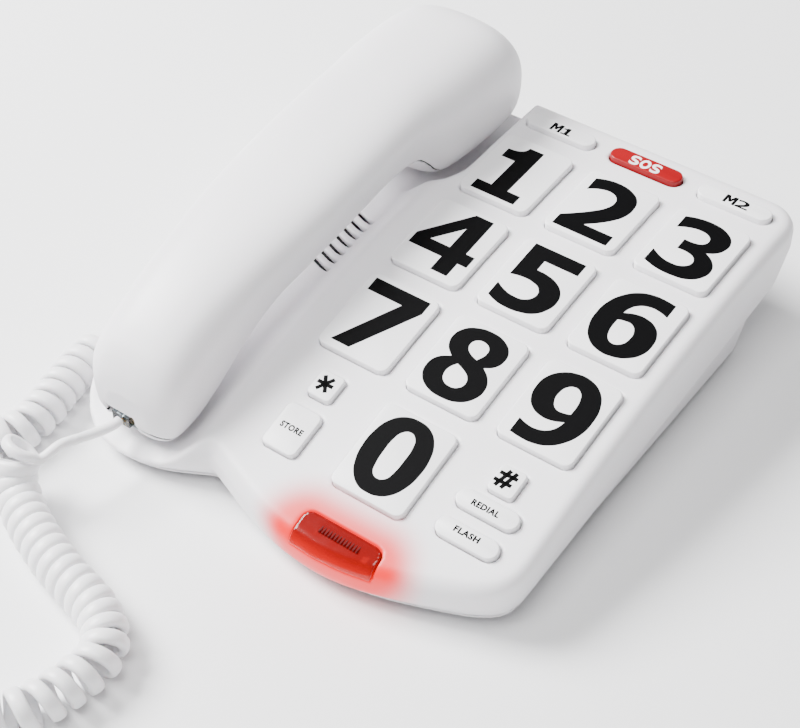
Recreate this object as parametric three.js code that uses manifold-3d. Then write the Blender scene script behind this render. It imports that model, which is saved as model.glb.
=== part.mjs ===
// A corded desk telephone with large keys: a wedge base with an arched key deck, a handset lying in a
// trough along its left side, and a curly cord. Millimetres, +X right, +Y rear, +Z up; the origin is on
// the table under the middle of the base.
import * as THREE from "three";
import { mergeVertices } from "three/addons/utils/BufferGeometryUtils.js";
import Module from "manifold-3d";

const wasm = await Module();
wasm.setup();

// ---------------------------------------------------------------- driving dimensions

const GAP = 0.35; // between pieces that meet or slide
const WALL = 2.2; // moulded wall thickness
const HALF_WIDTH = 91.6; // base, to its widest line
const REAR_Y = 104; // rear wall of the base
const ARCH_RADIUS = 630; // the key deck is a shallow cylinder with its axis along X
const ARCH_TOP_Y = 95.1; // where that cylinder is level
const ARCH_TOP_Z = 49.6;
const EDGE = 4.5; // rounding of the deck's edge
const RIM_FRONT_Z = 4.1; // parting line of the two base shells at y = -102.5
const RIM_SLOPE = 0.0921;
const RIM_INSET = 3; // how far the walls lean in from the widest line down to the parting line
const PAN = 2.5; // thickness of the bottom shell's edge
const FOOT_HEIGHT = 3;
const WEDGE_INSET = 5.8; // stand under the slab, inside its outline
const WEDGE_REAR_Y = 72;

const KEY_PITCH_X = 37;
const KEY_PITCH_S = 42.7; // along the arch
const KEY_X = [-1, 0, 1].map((column) => 31.5 + column * KEY_PITCH_X);
const KEY_ROW_S = 34; // first row, from the level line towards the front
const KEY_SIZE = [29.2, 34.8];
const KEY_CORNER = 3;
const KEY_PROUD = 1.8;
const KEY_TRAVEL = 1.2;
const FLANGE = 0.8;

const BOARD_Y = 6; // a point on the main board's upper face, and its slope
const BOARD_Z = 29.2;
const BOARD_SLOPE = 0.157;
const MAT = 1.2;
const DOME = 0.8;

const TROUGH_X = -30.5; // where the key deck turns down to the handset trough
const TROUGH_DEPTH = 10.2;
const EAR_X = -54; // the ear cup's middle, and the recess it sits in
const EAR_RECESS = { width: 61.2, front: 40, radius: 18 };
const HANDSET_WALL = 2.2;
const SEAM_RISE = 3.4; // handset parting line above its underside

const CORD = 3.2; // diameter of the handset cord
const COIL = 16; // outer diameter of its coil

// ---------------------------------------------------------------- surfaces

const archZ = (y) => ARCH_TOP_Z - ARCH_RADIUS + Math.sqrt(ARCH_RADIUS ** 2 - (ARCH_TOP_Y - y) ** 2);
const rimZ = (y) => RIM_FRONT_Z + RIM_SLOPE * (y + 102.5);
const boardZ = (y) => BOARD_Z + BOARD_SLOPE * (y - BOARD_Y);

// Frame of a point of the deck: x across, s along the arch from its level line towards the front.
function deckFrame(x, s, lift = 0) {
  const angle = s / ARCH_RADIUS;
  const radius = ARCH_RADIUS + lift;
  const centreZ = ARCH_TOP_Z - ARCH_RADIUS;
  return new THREE.Matrix4()
    .makeTranslation(x, ARCH_TOP_Y - radius * Math.sin(angle), centreZ + radius * Math.cos(angle))
    .multiply(new THREE.Matrix4().makeRotationX(angle));
}

// ---------------------------------------------------------------- solids and meshes

function toSolid(geometry) {
  const bare = new THREE.BufferGeometry();
  bare.setAttribute("position", geometry.getAttribute("position").clone());
  if (geometry.index) bare.setIndex(geometry.index.clone());
  const merged = mergeVertices(bare, 1e-4);
  return new wasm.Manifold(
    new wasm.Mesh({
      numProp: 3,
      vertProperties: new Float32Array(merged.attributes.position.array),
      triVerts: new Uint32Array(merged.index.array),
    }),
  );
}

function toGeometry(solid) {
  const mesh = solid.getMesh();
  const geometry = new THREE.BufferGeometry();
  geometry.setAttribute("position", new THREE.BufferAttribute(new Float32Array(mesh.vertProperties), 3));
  geometry.setIndex(new THREE.BufferAttribute(new Uint32Array(mesh.triVerts), 1));
  const flat = geometry.toNonIndexed();
  flat.computeVertexNormals();
  return flat;
}

const join = (...geometries) => toGeometry(geometries.map(toSolid).reduce((a, b) => a.add(b)));
const common = (...geometries) => toGeometry(geometries.map(toSolid).reduce((a, b) => a.intersect(b)));
const cut = (geometry, ...tools) =>
  toGeometry(tools.map(toSolid).reduce((rest, tool) => rest.subtract(tool), toSolid(geometry)));

const box = (x0, x1, y0, y1, z0, z1) =>
  new THREE.BoxGeometry(x1 - x0, y1 - y0, z1 - z0).translate((x0 + x1) / 2, (y0 + y1) / 2, (z0 + z1) / 2);

const discZ = (x, y, z0, z1, radius, sides = 20) =>
  new THREE.CylinderGeometry(radius, radius, z1 - z0, sides)
    .rotateX(Math.PI / 2)
    .translate(x, y, (z0 + z1) / 2);

function roundedRect(width, height, radius) {
  const [w, h] = [width / 2, height / 2];
  const r = Math.min(radius, w - 0.01, h - 0.01);
  const shape = new THREE.Shape();
  shape.moveTo(w, -h + r);
  shape.lineTo(w, h - r).absarc(w - r, h - r, r, 0, Math.PI / 2);
  shape.lineTo(-w + r, h).absarc(-w + r, h - r, r, Math.PI / 2, Math.PI);
  shape.lineTo(-w, -h + r).absarc(-w + r, -h + r, r, Math.PI, 1.5 * Math.PI);
  shape.lineTo(w - r, -h).absarc(w - r, -h + r, r, 1.5 * Math.PI, 2 * Math.PI);
  return shape;
}

// A rounded plate from z0 to z1, its upper and lower edges eased by bevel.
function plate(width, height, radius, z0, z1, bevel = 0) {
  return new THREE.ExtrudeGeometry(roundedRect(width - 2 * bevel, height - 2 * bevel, radius - bevel), {
    depth: z1 - z0 - 2 * bevel,
    curveSegments: 2,
    bevelEnabled: bevel > 0,
    bevelSize: bevel,
    bevelThickness: bevel,
    bevelSegments: 1,
  }).translate(0, 0, z0 + bevel);
}

// A closed body through rings of equal point count, with flat or nearly flat ends.
function loft(rings) {
  const count = rings[0].length;
  const points = rings.flat();
  const faces = [];
  for (let i = 0; i < rings.length - 1; i++)
    for (let j = 0; j < count; j++) {
      const k = (j + 1) % count;
      faces.push(i * count + j, i * count + k, (i + 1) * count + k);
      faces.push(i * count + j, (i + 1) * count + k, (i + 1) * count + j);
    }
  const last = (rings.length - 1) * count;
  const flatEnd = (ring) => THREE.ShapeUtils.triangulateShape(ring.map(endPlane(ring)), []);
  for (const [a, b, c] of flatEnd(rings[0])) faces.push(c, b, a);
  for (const [a, b, c] of flatEnd(rings[rings.length - 1])) faces.push(last + a, last + b, last + c);
  const geometry = new THREE.BufferGeometry().setFromPoints(points).setIndex(faces);
  return geometry;
}

// Projects a ring's points on the coordinate plane it faces most, keeping its turning direction.
function endPlane(ring) {
  const area = new THREE.Vector3();
  ring.forEach((p, i) => area.add(new THREE.Vector3().crossVectors(p, ring[(i + 1) % ring.length])));
  const [ax, ay, az] = [Math.abs(area.x), Math.abs(area.y), Math.abs(area.z)];
  if (az >= ax && az >= ay) return (p) => new THREE.Vector2(p.x * Math.sign(area.z), p.y);
  if (ay >= ax) return (p) => new THREE.Vector2(p.z * Math.sign(area.y), p.x);
  return (p) => new THREE.Vector2(p.y * Math.sign(area.x), p.z);
}

// A prism along X with a YZ profile.
function profilePrism(profile, x0, x1) {
  const shape = new THREE.Shape(profile.map(([y, z]) => new THREE.Vector2(y, z)));
  return new THREE.ExtrudeGeometry(shape, { depth: x1 - x0, bevelEnabled: false })
    .applyMatrix4(new THREE.Matrix4().makeBasis(
      new THREE.Vector3(0, 1, 0),
      new THREE.Vector3(0, 0, 1),
      new THREE.Vector3(1, 0, 0),
    ))
    .translate(x0, 0, 0);
}

// A round tube along a smooth curve through the given points.
function tube(points, diameter, sides, steps) {
  const curve = new THREE.CatmullRomCurve3(points.map((p) => new THREE.Vector3(...p)), false, "centripetal");
  const section = new THREE.Shape();
  for (let i = 0; i < sides; i++) {
    const a = (2 * Math.PI * i) / sides;
    const [x, y] = [(diameter / 2) * Math.cos(a), (diameter / 2) * Math.sin(a)];
    if (i) section.lineTo(x, y);
    else section.moveTo(x, y);
  }
  return new THREE.ExtrudeGeometry(section, { steps, extrudePath: curve });
}

// ---------------------------------------------------------------- materials

const finish = (color, roughness, metalness = 0, opacity = 1) =>
  new THREE.MeshStandardMaterial({ color, roughness, metalness, opacity, transparent: opacity < 1 });

const WHITE_ABS = finish(0xe9e8ea, 0.42);
const KEY_ABS = finish(0xf1f1f2, 0.35);
const SOS_RED = finish(0xd0182c, 0.35);
const RED_LENS = finish(0xd81a12, 0.12, 0, 0.7);
const CLEAR = finish(0xdfe6e8, 0.1, 0, 0.5);
const BLACK = finish(0x17171a, 0.5);
const RUBBER = finish(0x8b8c90, 0.85);
const SILICONE = finish(0xcfd0cc, 0.7);
const BOARD = finish(0x2e6b3f, 0.5);
const STEEL = finish(0xb4b6ba, 0.35, 1);
const CORD_PVC = finish(0xe7e7e8, 0.45);

const phone = new THREE.Group();

function add(name, geometry, material, matrix) {
  const mesh = new THREE.Mesh(geometry, material);
  mesh.name = name;
  if (matrix) mesh.applyMatrix4(matrix);
  phone.add(mesh);
  return mesh;
}

// ---------------------------------------------------------------- base outline

// Plan of the base at its widest line: straight back and sides, a bowed front under the keys, and a
// rounded lobe under the handset, with an inward corner between the two.
function baseOutline() {
  const plan = new THREE.Path();
  const [w, r] = [HALF_WIDTH, 13];
  plan.moveTo(w, -72);
  plan.lineTo(w, REAR_Y - r).absarc(w - r, REAR_Y - r, r, 0, Math.PI / 2);
  plan.lineTo(-w + r, REAR_Y).absarc(-w + r, REAR_Y - r, r, Math.PI / 2, Math.PI);
  plan.lineTo(-w, -68);
  plan.bezierCurveTo(-w, -88, -80, -102, -62, -102.5);
  plan.bezierCurveTo(-46, -102.5, -38, -97, -26.5, -91.5);
  plan.bezierCurveTo(-10, -97, 2, -103.5, 26, -104);
  plan.bezierCurveTo(43, -104, 61, -97.5, 76, -91.5);
  plan.bezierCurveTo(87, -87, w, -82, w, -72);
  return plan.getPoints(6).slice(0, -1).filter((p, i, all) => !i || p.distanceTo(all[i - 1]) > 0.5);
}

const OUTLINE = baseOutline();

// The outline moved inwards by a distance, each point along the bisector of its two sides.
function inset(distance) {
  return OUTLINE.map((p, i) => {
    const before = p.clone().sub(OUTLINE[(i + OUTLINE.length - 1) % OUTLINE.length]).normalize();
    const after = OUTLINE[(i + 1) % OUTLINE.length].clone().sub(p).normalize();
    const inward = new THREE.Vector2(-before.y - after.y, before.x + after.x).normalize();
    const stretch = Math.max(0.5, Math.sqrt((1 + before.dot(after)) / 2));
    return p.clone().addScaledVector(inward, distance / stretch);
  });
}

const ring = (distance, height) => inset(distance).map((p) => new THREE.Vector3(p.x, p.y, height(p.y)));

// Everything under the arched deck, lowered by depth.
function archProfile(depth) {
  const profile = [[130, -20], [130, archZ(130) - depth]];
  for (let y = 112; y >= -124; y -= 18) profile.push([y, archZ(y) - depth]);
  profile.push([-124, -20]);
  return profilePrism(profile.reverse(), -120, 120);
}

// The trough that the handset lies in, as the space to take away, lowered by depth and widened by it.
function trough(depth) {
  const section = (y) => {
    const top = archZ(y) - depth;
    const edge = TROUGH_X + depth;
    return [
      [edge + 3, top + 60],
      [edge + 3, top + 0.8],
      [edge, top - 0.35],
      [edge - 2.8, top - 3.2],
      [edge - 6.5, top - 7.2],
      [edge - 12, top - 9.6],
      [edge - 18, top - TROUGH_DEPTH],
      [-78, top - TROUGH_DEPTH],
      [-86, top - 9.4],
      [-102, top - 6.4],
      [-102, top + 60],
    ].map(([x, z]) => new THREE.Vector3(x, y, z));
  };
  const rings = [];
  for (let y = -126; y <= 126; y += 21) rings.push(section(y));
  const { width, front, radius } = EAR_RECESS;
  const length = 2 * (REAR_Y + 20 - front);
  const ear = plate(width + 2 * depth, length + 2 * depth, radius + depth, 38.2 - depth, 80);
  return join(loft(rings), ear.translate(EAR_X, front + length / 2, 0));
}

// Outer body of the base above the parting line, before its hollow.
function deckBody() {
  const rise = (lift) => (y) => archZ(y) + lift;
  const walls = loft([
    ring(RIM_INSET, rimZ),
    ring(0, (y) => Math.max(rimZ(y) + 2, archZ(y) - TROUGH_DEPTH)),
    ring(0, rise(-EDGE)),
    ring(EDGE * 0.3, rise(-EDGE * 0.3)),
    ring(EDGE, rise(0.2)),
    ring(EDGE, () => 80),
  ]);
  return common(walls, archProfile(0));
}

function deckHollow() {
  const rise = (lift) => (y) => archZ(y) + lift;
  const walls = loft([
    ring(RIM_INSET + WALL, (y) => rimZ(y) - 6),
    ring(RIM_INSET + WALL, rimZ),
    ring(WALL, (y) => Math.max(rimZ(y) + 2, archZ(y) - TROUGH_DEPTH)),
    ring(WALL, rise(-EDGE)),
    ring(WALL + EDGE * 0.3, rise(-EDGE * 0.3)),
    ring(EDGE + WALL, () => 80),
  ]);
  return cut(common(walls, archProfile(WALL)), trough(WALL));
}

// ---------------------------------------------------------------- keys

const KEYS = [];
const DIGITS = [["1", "2", "3"], ["4", "5", "6"], ["7", "8", "9"], [null, "0", null]];
DIGITS.forEach((row, i) =>
  row.forEach((digit, j) => {
    if (digit === null) return;
    const s = KEY_ROW_S + i * KEY_PITCH_S;
    KEYS.push({ name: "key_" + digit, x: KEY_X[j], s, size: KEY_SIZE, corner: KEY_CORNER });
  }),
);
KEYS.push(
  { name: "key_star", x: KEY_X[0], s: 150.3, size: [9.8, 10.6], corner: 1.6 },
  { name: "key_hash", x: KEY_X[2], s: 150.5, size: [9.8, 10.6], corner: 1.6 },
  { name: "key_store", x: KEY_X[0], s: 169.9, size: [14, 18], corner: 2.4 },
  { name: "key_redial", x: KEY_X[2], s: 162, size: [23.6, 7], corner: 3.5 },
  { name: "key_flash", x: KEY_X[2], s: 173.8, size: [23.6, 7], corner: 3.5 },
  { name: "key_m1", x: KEY_X[0], s: 3.6, size: [29.4, 7.2], corner: 3.6 },
  { name: "key_sos", x: KEY_X[1], s: 3.4, size: [29.8, 7.4], corner: 3.7 },
  { name: "key_m2", x: KEY_X[2], s: 3.6, size: [29.4, 7.2], corner: 3.6 },
);

const keyHole = ({ x, s, size, corner }) =>
  plate(size[0] + 2 * GAP, size[1] + 2 * GAP, corner + GAP, -WALL - 6, 8).applyMatrix4(deckFrame(x, s));

// Depth of the main board's face under the deck, measured square to the deck at a key.
function boardDepth({ x, s }) {
  const at = new THREE.Vector3().setFromMatrixPosition(deckFrame(x, s));
  return at.z - boardZ(at.y);
}

function keyBody(key) {
  const [w, h] = key.size;
  const under = -WALL - GAP;
  const foot = Math.min(under - FLANGE, -boardDepth(key) + GAP + MAT + DOME + KEY_TRAVEL + 0.9);
  const cap = plate(w, h, key.corner, under - 0.4, KEY_PROUD, 0.7);
  const flange = plate(w + 1.6, h + 1.6, key.corner + 0.8, under - FLANGE, under);
  if (foot > under - FLANGE - 0.3) return join(cap, flange);
  return join(cap, flange, discZ(0, 0, foot, under - 0.2, Math.min(4, h / 2 - 0.5), 12));
}

function addKeys() {
  for (const key of KEYS) {
    const material = key.name === "key_sos" ? SOS_RED : KEY_ABS;
    add(key.name, keyBody(key), material, deckFrame(key.x, key.s));
  }
}

// ---------------------------------------------------------------- base shells and their fittings

const SCREWS = [[50, 39.8], [50, -44.5], [-72, 38], [-74, -48]];
const LENS = { x: 32.4, width: 31.4, y: -94, z: 13.2 };
const RINGER = { x: -53, y: 8, slots: 7, pitch: 4.45, slant: -0.36 };
const PLUNGER = { x: EAR_X, y: 74, size: [11, 7], top: 39.85 };
const LINE_JACK = { x: 30, z: 33.5, width: 16.6, height: 13, depth: 16 };
const SWITCH = { x: 58, z: 33 };
const CORD_JACK = { y: -40, z: 15.5, width: 11, height: 9, depth: 13 };

const wedgeTop = (y) => rimZ(y) - PAN;
const headZ = FOOT_HEIGHT + 3.2; // underside of a screw's head recess

// A screw's boss under the top shell, and its bore.
const boss = ([x, y]) => discZ(x, y, headZ + WALL + 3, archZ(y) - (x < TROUGH_X ? 11 : 1), 3.6, 12);
const bore = ([x, y]) => discZ(x, y, 0, headZ + WALL + 14, 1.85, 10);

function ringerSlots() {
  const middle = (RINGER.slots - 1) / 2;
  return Array.from({ length: RINGER.slots }, (_, i) =>
    box(-11, 8, -0.75, 0.75, -12, 12)
      .rotateZ(RINGER.slant)
      .translate(RINGER.x + 3, RINGER.y + (i - middle) * RINGER.pitch, archZ(RINGER.y) - TROUGH_DEPTH),
  );
}

const lensSpace = (grow) =>
  box(
    LENS.x - LENS.width / 2 - grow, LENS.x + LENS.width / 2 + grow,
    -120, LENS.y + grow, LENS.z - grow, 60,
  );

function addBaseShells() {
  const hollow = deckHollow();
  const skin = cut(deckBody(), trough(0), hollow);
  const bosses = SCREWS.map((at) => boss(at));
  const top = cut(
    join(skin, ...bosses),
    ...KEYS.map(keyHole),
    ...ringerSlots(),
    ...SCREWS.map(bore),
    lensSpace(GAP),
    plate(PLUNGER.size[0] + 0.8, PLUNGER.size[1] + 0.8, 1.5, 20, 60).translate(PLUNGER.x, PLUNGER.y, 0),
    openingAt(LINE_JACK, REAR_Y),
    box(SWITCH.x - 5, SWITCH.x + 5, REAR_Y - 12, REAR_Y + 2, SWITCH.z - 2.2, SWITCH.z + 2.2),
    cordJackSpace(GAP),
  );
  add("base_top_shell", top, WHITE_ABS);
  add("base_bottom_shell", bottomShell(), WHITE_ABS);
}

const openingAt = ({ x, z, width, height, depth }, y) =>
  box(x - width / 2 - GAP, x + width / 2 + GAP, y - depth, y + 2, z - height / 2 - GAP, z + height / 2 + GAP);

const cordJackSpace = (grow) =>
  box(
    -HALF_WIDTH - 2, -HALF_WIDTH + CORD_JACK.depth,
    CORD_JACK.y - CORD_JACK.width / 2 - grow, CORD_JACK.y + CORD_JACK.width / 2 + grow,
    CORD_JACK.z - CORD_JACK.height / 2 - grow, CORD_JACK.z + CORD_JACK.height / 2 + grow,
  );

// The bottom shell: a thin pan under the slab and the stand below it, which is the outline moved in and
// cut off at the back by a wall that leans out upwards.
function bottomShell() {
  const pan = loft([
    ring(RIM_INSET + 0.9, (y) => rimZ(y) - PAN),
    ring(RIM_INSET + 0.1, (y) => rimZ(y) - GAP),
  ]);
  const upright = (distance, floor) => loft([ring(distance, () => floor), ring(distance, () => 60)]);
  const [lean, rise] = [11, 14.7];
  const backTop = WEDGE_REAR_Y + lean;
  const side = [
    [-96, FOOT_HEIGHT - 1], [WEDGE_REAR_Y, FOOT_HEIGHT - 1], [WEDGE_REAR_Y, FOOT_HEIGHT + 1],
    [backTop, FOOT_HEIGHT + 1 + rise], [backTop, wedgeTop(backTop) + 0.5], [-96, wedgeTop(-96) + 0.5],
  ];
  const stand = common(upright(WEDGE_INSET, FOOT_HEIGHT), profilePrism(side, -100, 100));
  const floor = FOOT_HEIGHT + WALL;
  const hollow = common(
    upright(WEDGE_INSET + WALL, floor),
    box(-100, 100, -64, WEDGE_REAR_Y - WALL, floor - 1, 61),
  );
  const pillars = SCREWS.map(([x, y]) => discZ(x, y, FOOT_HEIGHT + 0.5, headZ + WALL, 6, 14));
  const recesses = SCREWS.map(([x, y]) => discZ(x, y, 0, headZ, 3.9, 14));
  return cut(join(cut(join(pan, stand), hollow), ...pillars), ...recesses, ...SCREWS.map(bore));
}

function addScrews() {
  SCREWS.forEach(([x, y], i) => {
    const head = discZ(x, y, headZ - 2 - GAP, headZ - GAP, 3.2, 14);
    const shank = discZ(x, y, headZ - GAP - 0.5, headZ + WALL + 12, 1.4, 8);
    add("base_screw_" + (i + 1), join(head, shank), STEEL);
  });
}

function addFeet() {
  const places = [[70, 58], [-70, 58], [66, -72], [-64, -76]];
  places.forEach(([x, y], i) =>
    add("foot_" + (i + 1), discZ(x, y, 0, FOOT_HEIGHT - GAP, 7, 20), RUBBER));
}

// A sheet along the main board, from low to high above the board's upper face.
function boardSheet(x0, x1, y0, y1, low, high) {
  const angle = Math.atan(BOARD_SLOPE);
  const middle = (y0 + y1) / 2;
  return box(x0, x1, (y0 - middle) / Math.cos(angle), (y1 - middle) / Math.cos(angle), low, high)
    .rotateX(angle)
    .translate(0, middle, boardZ(middle));
}

function addKeypad() {
  const keypadScrews = SCREWS.filter(([x]) => x > TROUGH_X);
  const clear = (radius) => keypadScrews.map(([x, y]) => discZ(x, y, 0, 60, radius, 12));
  // The top row's flanges come down onto the mat themselves, where the board lies close under the deck.
  const domes = KEYS.filter(({ s }) => s > 10).map(({ x, s }) => {
    const y = ARCH_TOP_Y - ARCH_RADIUS * Math.sin(s / ARCH_RADIUS);
    return discZ(0, 0, 0.2, MAT + DOME, 2.8, 10)
      .rotateX(Math.atan(BOARD_SLOPE))
      .translate(x, y, boardZ(y) + GAP);
  });
  const mat = join(boardSheet(-18, 82, -83, 95.5, GAP, GAP + MAT), ...domes);
  add("keypad_mat", cut(mat, ...clear(4.4)), SILICONE);
  add("main_board", cut(boardSheet(-18, 83, -84, 96, -1.6, 0), ...clear(4.2)), BOARD);
}

// The indicator's lens follows the deck and folds over its front edge, a little proud of it.
function addIndicator() {
  const deck = (grow) => {
    const lift = (dz) => (y) => archZ(y) + grow + dz;
    return common(
      loft([
        ring(RIM_INSET - grow, rimZ),
        ring(-grow, lift(-TROUGH_DEPTH)),
        ring(-grow, lift(-EDGE)),
        ring(EDGE * 0.3 - grow, lift(-EDGE * 0.3)),
        ring(EDGE - grow, () => 80),
      ]),
      archProfile(-grow),
    );
  };
  const lens = cut(common(deck(0.5), lensSpace(0)), common(deck(-1.6), lensSpace(3)));
  add("indicator_lens", lens, RED_LENS);
  const boardY = LENS.y + 1.2;
  add("indicator_board", box(LENS.x - 17, LENS.x + 17, boardY, boardY + 1.2, 8.4, 15.6), BOARD);
  for (const [side, sign] of [["left", -1], ["right", 1]]) {
    const led = new THREE.CylinderGeometry(1.5, 1.5, 3, 12).translate(LENS.x + sign * 9, boardY - GAP - 1.5, 15.2);
    add("indicator_led_" + side, led, RED_LENS);
  }
}

function addBaseFittings() {
  const top = archZ(RINGER.y - 14) - TROUGH_DEPTH - WALL - GAP - 0.3;
  add("ringer_speaker", join(
    discZ(RINGER.x, RINGER.y, top - 3, top, 14, 20),
    discZ(RINGER.x, RINGER.y, top - 7, top - 2.5, 8, 14),
  ), BLACK);
  const [w, d] = PLUNGER.size;
  add("hook_plunger", join(
    plate(w, d, 1.2, 25.4, PLUNGER.top, 0.4).translate(PLUNGER.x, PLUNGER.y, 0),
    plate(w + 4, d + 4, 1.2, 25.4, 27.2).translate(PLUNGER.x, PLUNGER.y, 0),
  ), WHITE_ABS);
  add("hook_switch", box(PLUNGER.x - 8, PLUNGER.x + 8, PLUNGER.y - 5, PLUNGER.y + 5, 21.2, 25), BLACK);
  add("ballast_plate", box(-45, 40, -38, 30, FOOT_HEIGHT + WALL + GAP, FOOT_HEIGHT + WALL + GAP + 3), STEEL);
  addLineJack();
  addRingerSwitch();
  addCordJack();
}

function addLineJack() {
  const { x, z, width, height, depth } = LINE_JACK;
  const face = REAR_Y - 0.6;
  const body = box(x - width / 2, x + width / 2, face - depth + 1, face, z - height / 2, z + height / 2);
  const socket = box(x - 4.8, x + 4.8, face - 12, face + 2, z - 3.2, z + 3.4);
  const latch = box(x - 1.8, x + 1.8, face - 12, face + 2, z - 5, z - 3);
  add("line_jack", cut(body, socket, latch), BLACK);
}

function addRingerSwitch() {
  const { x, z } = SWITCH;
  const back = REAR_Y - RIM_INSET - WALL - GAP;
  add("ringer_switch_body", box(x - 9, x + 9, back - 6, back, z - 4, z + 4), BLACK);
  add("ringer_switch", box(x - 2, x + 2, back + GAP, REAR_Y + 1, z - 1.8, z + 1.8), WHITE_ABS);
}

function addCordJack() {
  const { y, z, width, height, depth } = CORD_JACK;
  const face = -HALF_WIDTH + 2.2;
  const inner = -HALF_WIDTH + depth;
  const body = box(face, inner, y - width / 2, y + width / 2, z - height / 2, z + height / 2);
  const socket = box(face - 2, inner - 1.6, y - 4.2, y + 4.2, z - 3.5, z + 3.3);
  add("base_cord_jack", cut(body, socket), BLACK);
  const plug = join(
    box(face - 4, inner - 2, y - 3.8, y + 3.8, z - 3, z + 2.8),
    box(face - 4.5, face + 4, y - 1.4, y + 1.4, z + 2, z + 3),
  );
  add("cord_plug_base", plug, CLEAR);
}

// ---------------------------------------------------------------- handset

// Stations along Y: half width, underside and crown of the handset.
const HANDSET = [
  [-97.5, 9, 20, 32],
  [-96, 15, 15.4, 38.5],
  [-92.5, 19.2, 12.9, 46.5],
  [-88, 20.6, 13.8, 50.8],
  [-80, 21.2, 16.4, 56],
  [-70, 21.6, 22.8, 60.6],
  [-58, 22, 32.5, 64.6],
  [-44, 22.6, 41, 68.4],
  [-28, 24, 46.4, 72.2],
  [-12, 24.8, 50, 75.3],
  [6, 25, 53.5, 78.6],
  [24, 25, 56, 81.5],
  [35, 25.4, 55, 83],
  [43, 26.6, 48.5, 84],
  [48, 27.8, 42.5, 84.5],
  [54, 28.8, 40.8, 84.9],
  [72, 29.7, 40.5, 85.4],
  [86, 29.2, 40.6, 85],
  [95, 27, 42.4, 82.4],
  [100, 23, 47, 77.2],
  [102.8, 15, 54, 69],
];
const HANDSET_JACK = { x: -62.5, z: 18.4 };
const CHEEK = 0.025; // the handset's middle line leans this much from the ear end to the mouth end

const handsetX = (y) => EAR_X + CHEEK * (y - 80);

// One section of the handset: rounder above than below.
function handsetRing([y, half, low, high], shrink) {
  const count = 22;
  const middle = (low + high) / 2;
  const points = [];
  for (let i = 0; i < count; i++) {
    const a = (2 * Math.PI * (i + 0.5)) / count;
    const [c, s] = [Math.cos(a), Math.sin(a)];
    const power = s > 0 ? 0.78 : 0.66;
    const reach = (high - low) / 2 - shrink;
    const x = handsetX(y) + Math.sign(c) * Math.abs(c) ** power * (half - shrink);
    points.push(new THREE.Vector3(x, y, middle + Math.sign(s) * Math.abs(s) ** power * reach));
  }
  return points.reverse();
}

function handsetBody(shrink) {
  const [first, last] = [HANDSET[0][0], HANDSET[HANDSET.length - 1][0]];
  const margin = shrink ? shrink + 1 : 0;
  const stations = HANDSET.filter(([y]) => y >= first + margin && y <= last - margin);
  return loft(stations.map((station) => handsetRing(station, shrink)));
}

// Everything above the parting line of the handset, which follows its underside.
function aboveSeam(lift) {
  const line = HANDSET.slice(2, -2).map(([y, , low]) => [y, low + SEAM_RISE + lift]);
  const [first, last] = [line[0][1], line[line.length - 1][1]];
  const profile = [[-110, first], ...line, [112, last], [112, 120], [-110, 120]];
  return profilePrism(profile, -120, 0);
}

function addHandset() {
  const shell = cut(handsetBody(0), handsetBody(HANDSET_WALL));
  const { x, z } = HANDSET_JACK;
  const notch = box(x - 6.7, x + 6.7, -110, -80, z - 3.6, z + 3.6);
  const outer = cut(common(shell, aboveSeam(GAP)), notch);
  const ear = { x: handsetX(72), y: 72, z: 45 };
  const mouth = { x: handsetX(-72) + 4, y: -74 };
  const earHoles = [0, 1, 2, 3, 4, 5, 6].map((i) => {
    const a = (i * Math.PI) / 3;
    const r = i === 6 ? 0 : 6;
    return discZ(ear.x + r * Math.cos(a), ear.y + r * Math.sin(a), 30, 50, 1.2, 8);
  });
  const mouthHole = discZ(mouth.x, mouth.y, 5, 30, 1.2, 8);
  const screwHole = discZ(handsetX(20), 20, 50, 70, 1.8, 10);
  add("handset_outer_shell", outer, WHITE_ABS);
  add("handset_inner_shell", cut(shell, aboveSeam(0), notch, ...earHoles, mouthHole, screwHole), WHITE_ABS);
  add("earpiece_speaker", join(
    discZ(ear.x, ear.y, ear.z, ear.z + 3, 15, 24),
    discZ(ear.x, ear.y, ear.z + 2.8, ear.z + 7, 8, 16),
  ), BLACK);
  add("handset_screw", join(
    discZ(handsetX(20), 20, 56.6, 58.4, 1.5, 10),
    discZ(handsetX(20), 20, 58, 63.1, 1, 8),
  ), STEEL);
  add("microphone", discZ(mouth.x, mouth.y, 27, 32, 4.8, 16), BLACK);
  const weightX = handsetX(0);
  add("handset_weight", box(weightX - 10, weightX + 10, -14, 26, 63.5, 68.5), STEEL);
  const jack = box(x - 6.2, x + 6.2, -92, -80.5, z - 3.1, z + 3.1);
  add("handset_jack", cut(jack, box(x - 4.1, x + 4.1, -94, -82, z - 2.6, z + 2.6)), BLACK);
  const plug = join(
    box(x - 3.8, x + 3.8, -97, -82.5, z - 2.3, z + 2.2),
    box(x - 1.4, x + 1.4, -97.4, -93, z + 1.8, z + 3),
  );
  add("cord_plug_handset", plug, CLEAR);
}

// ---------------------------------------------------------------- handset cord

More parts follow.
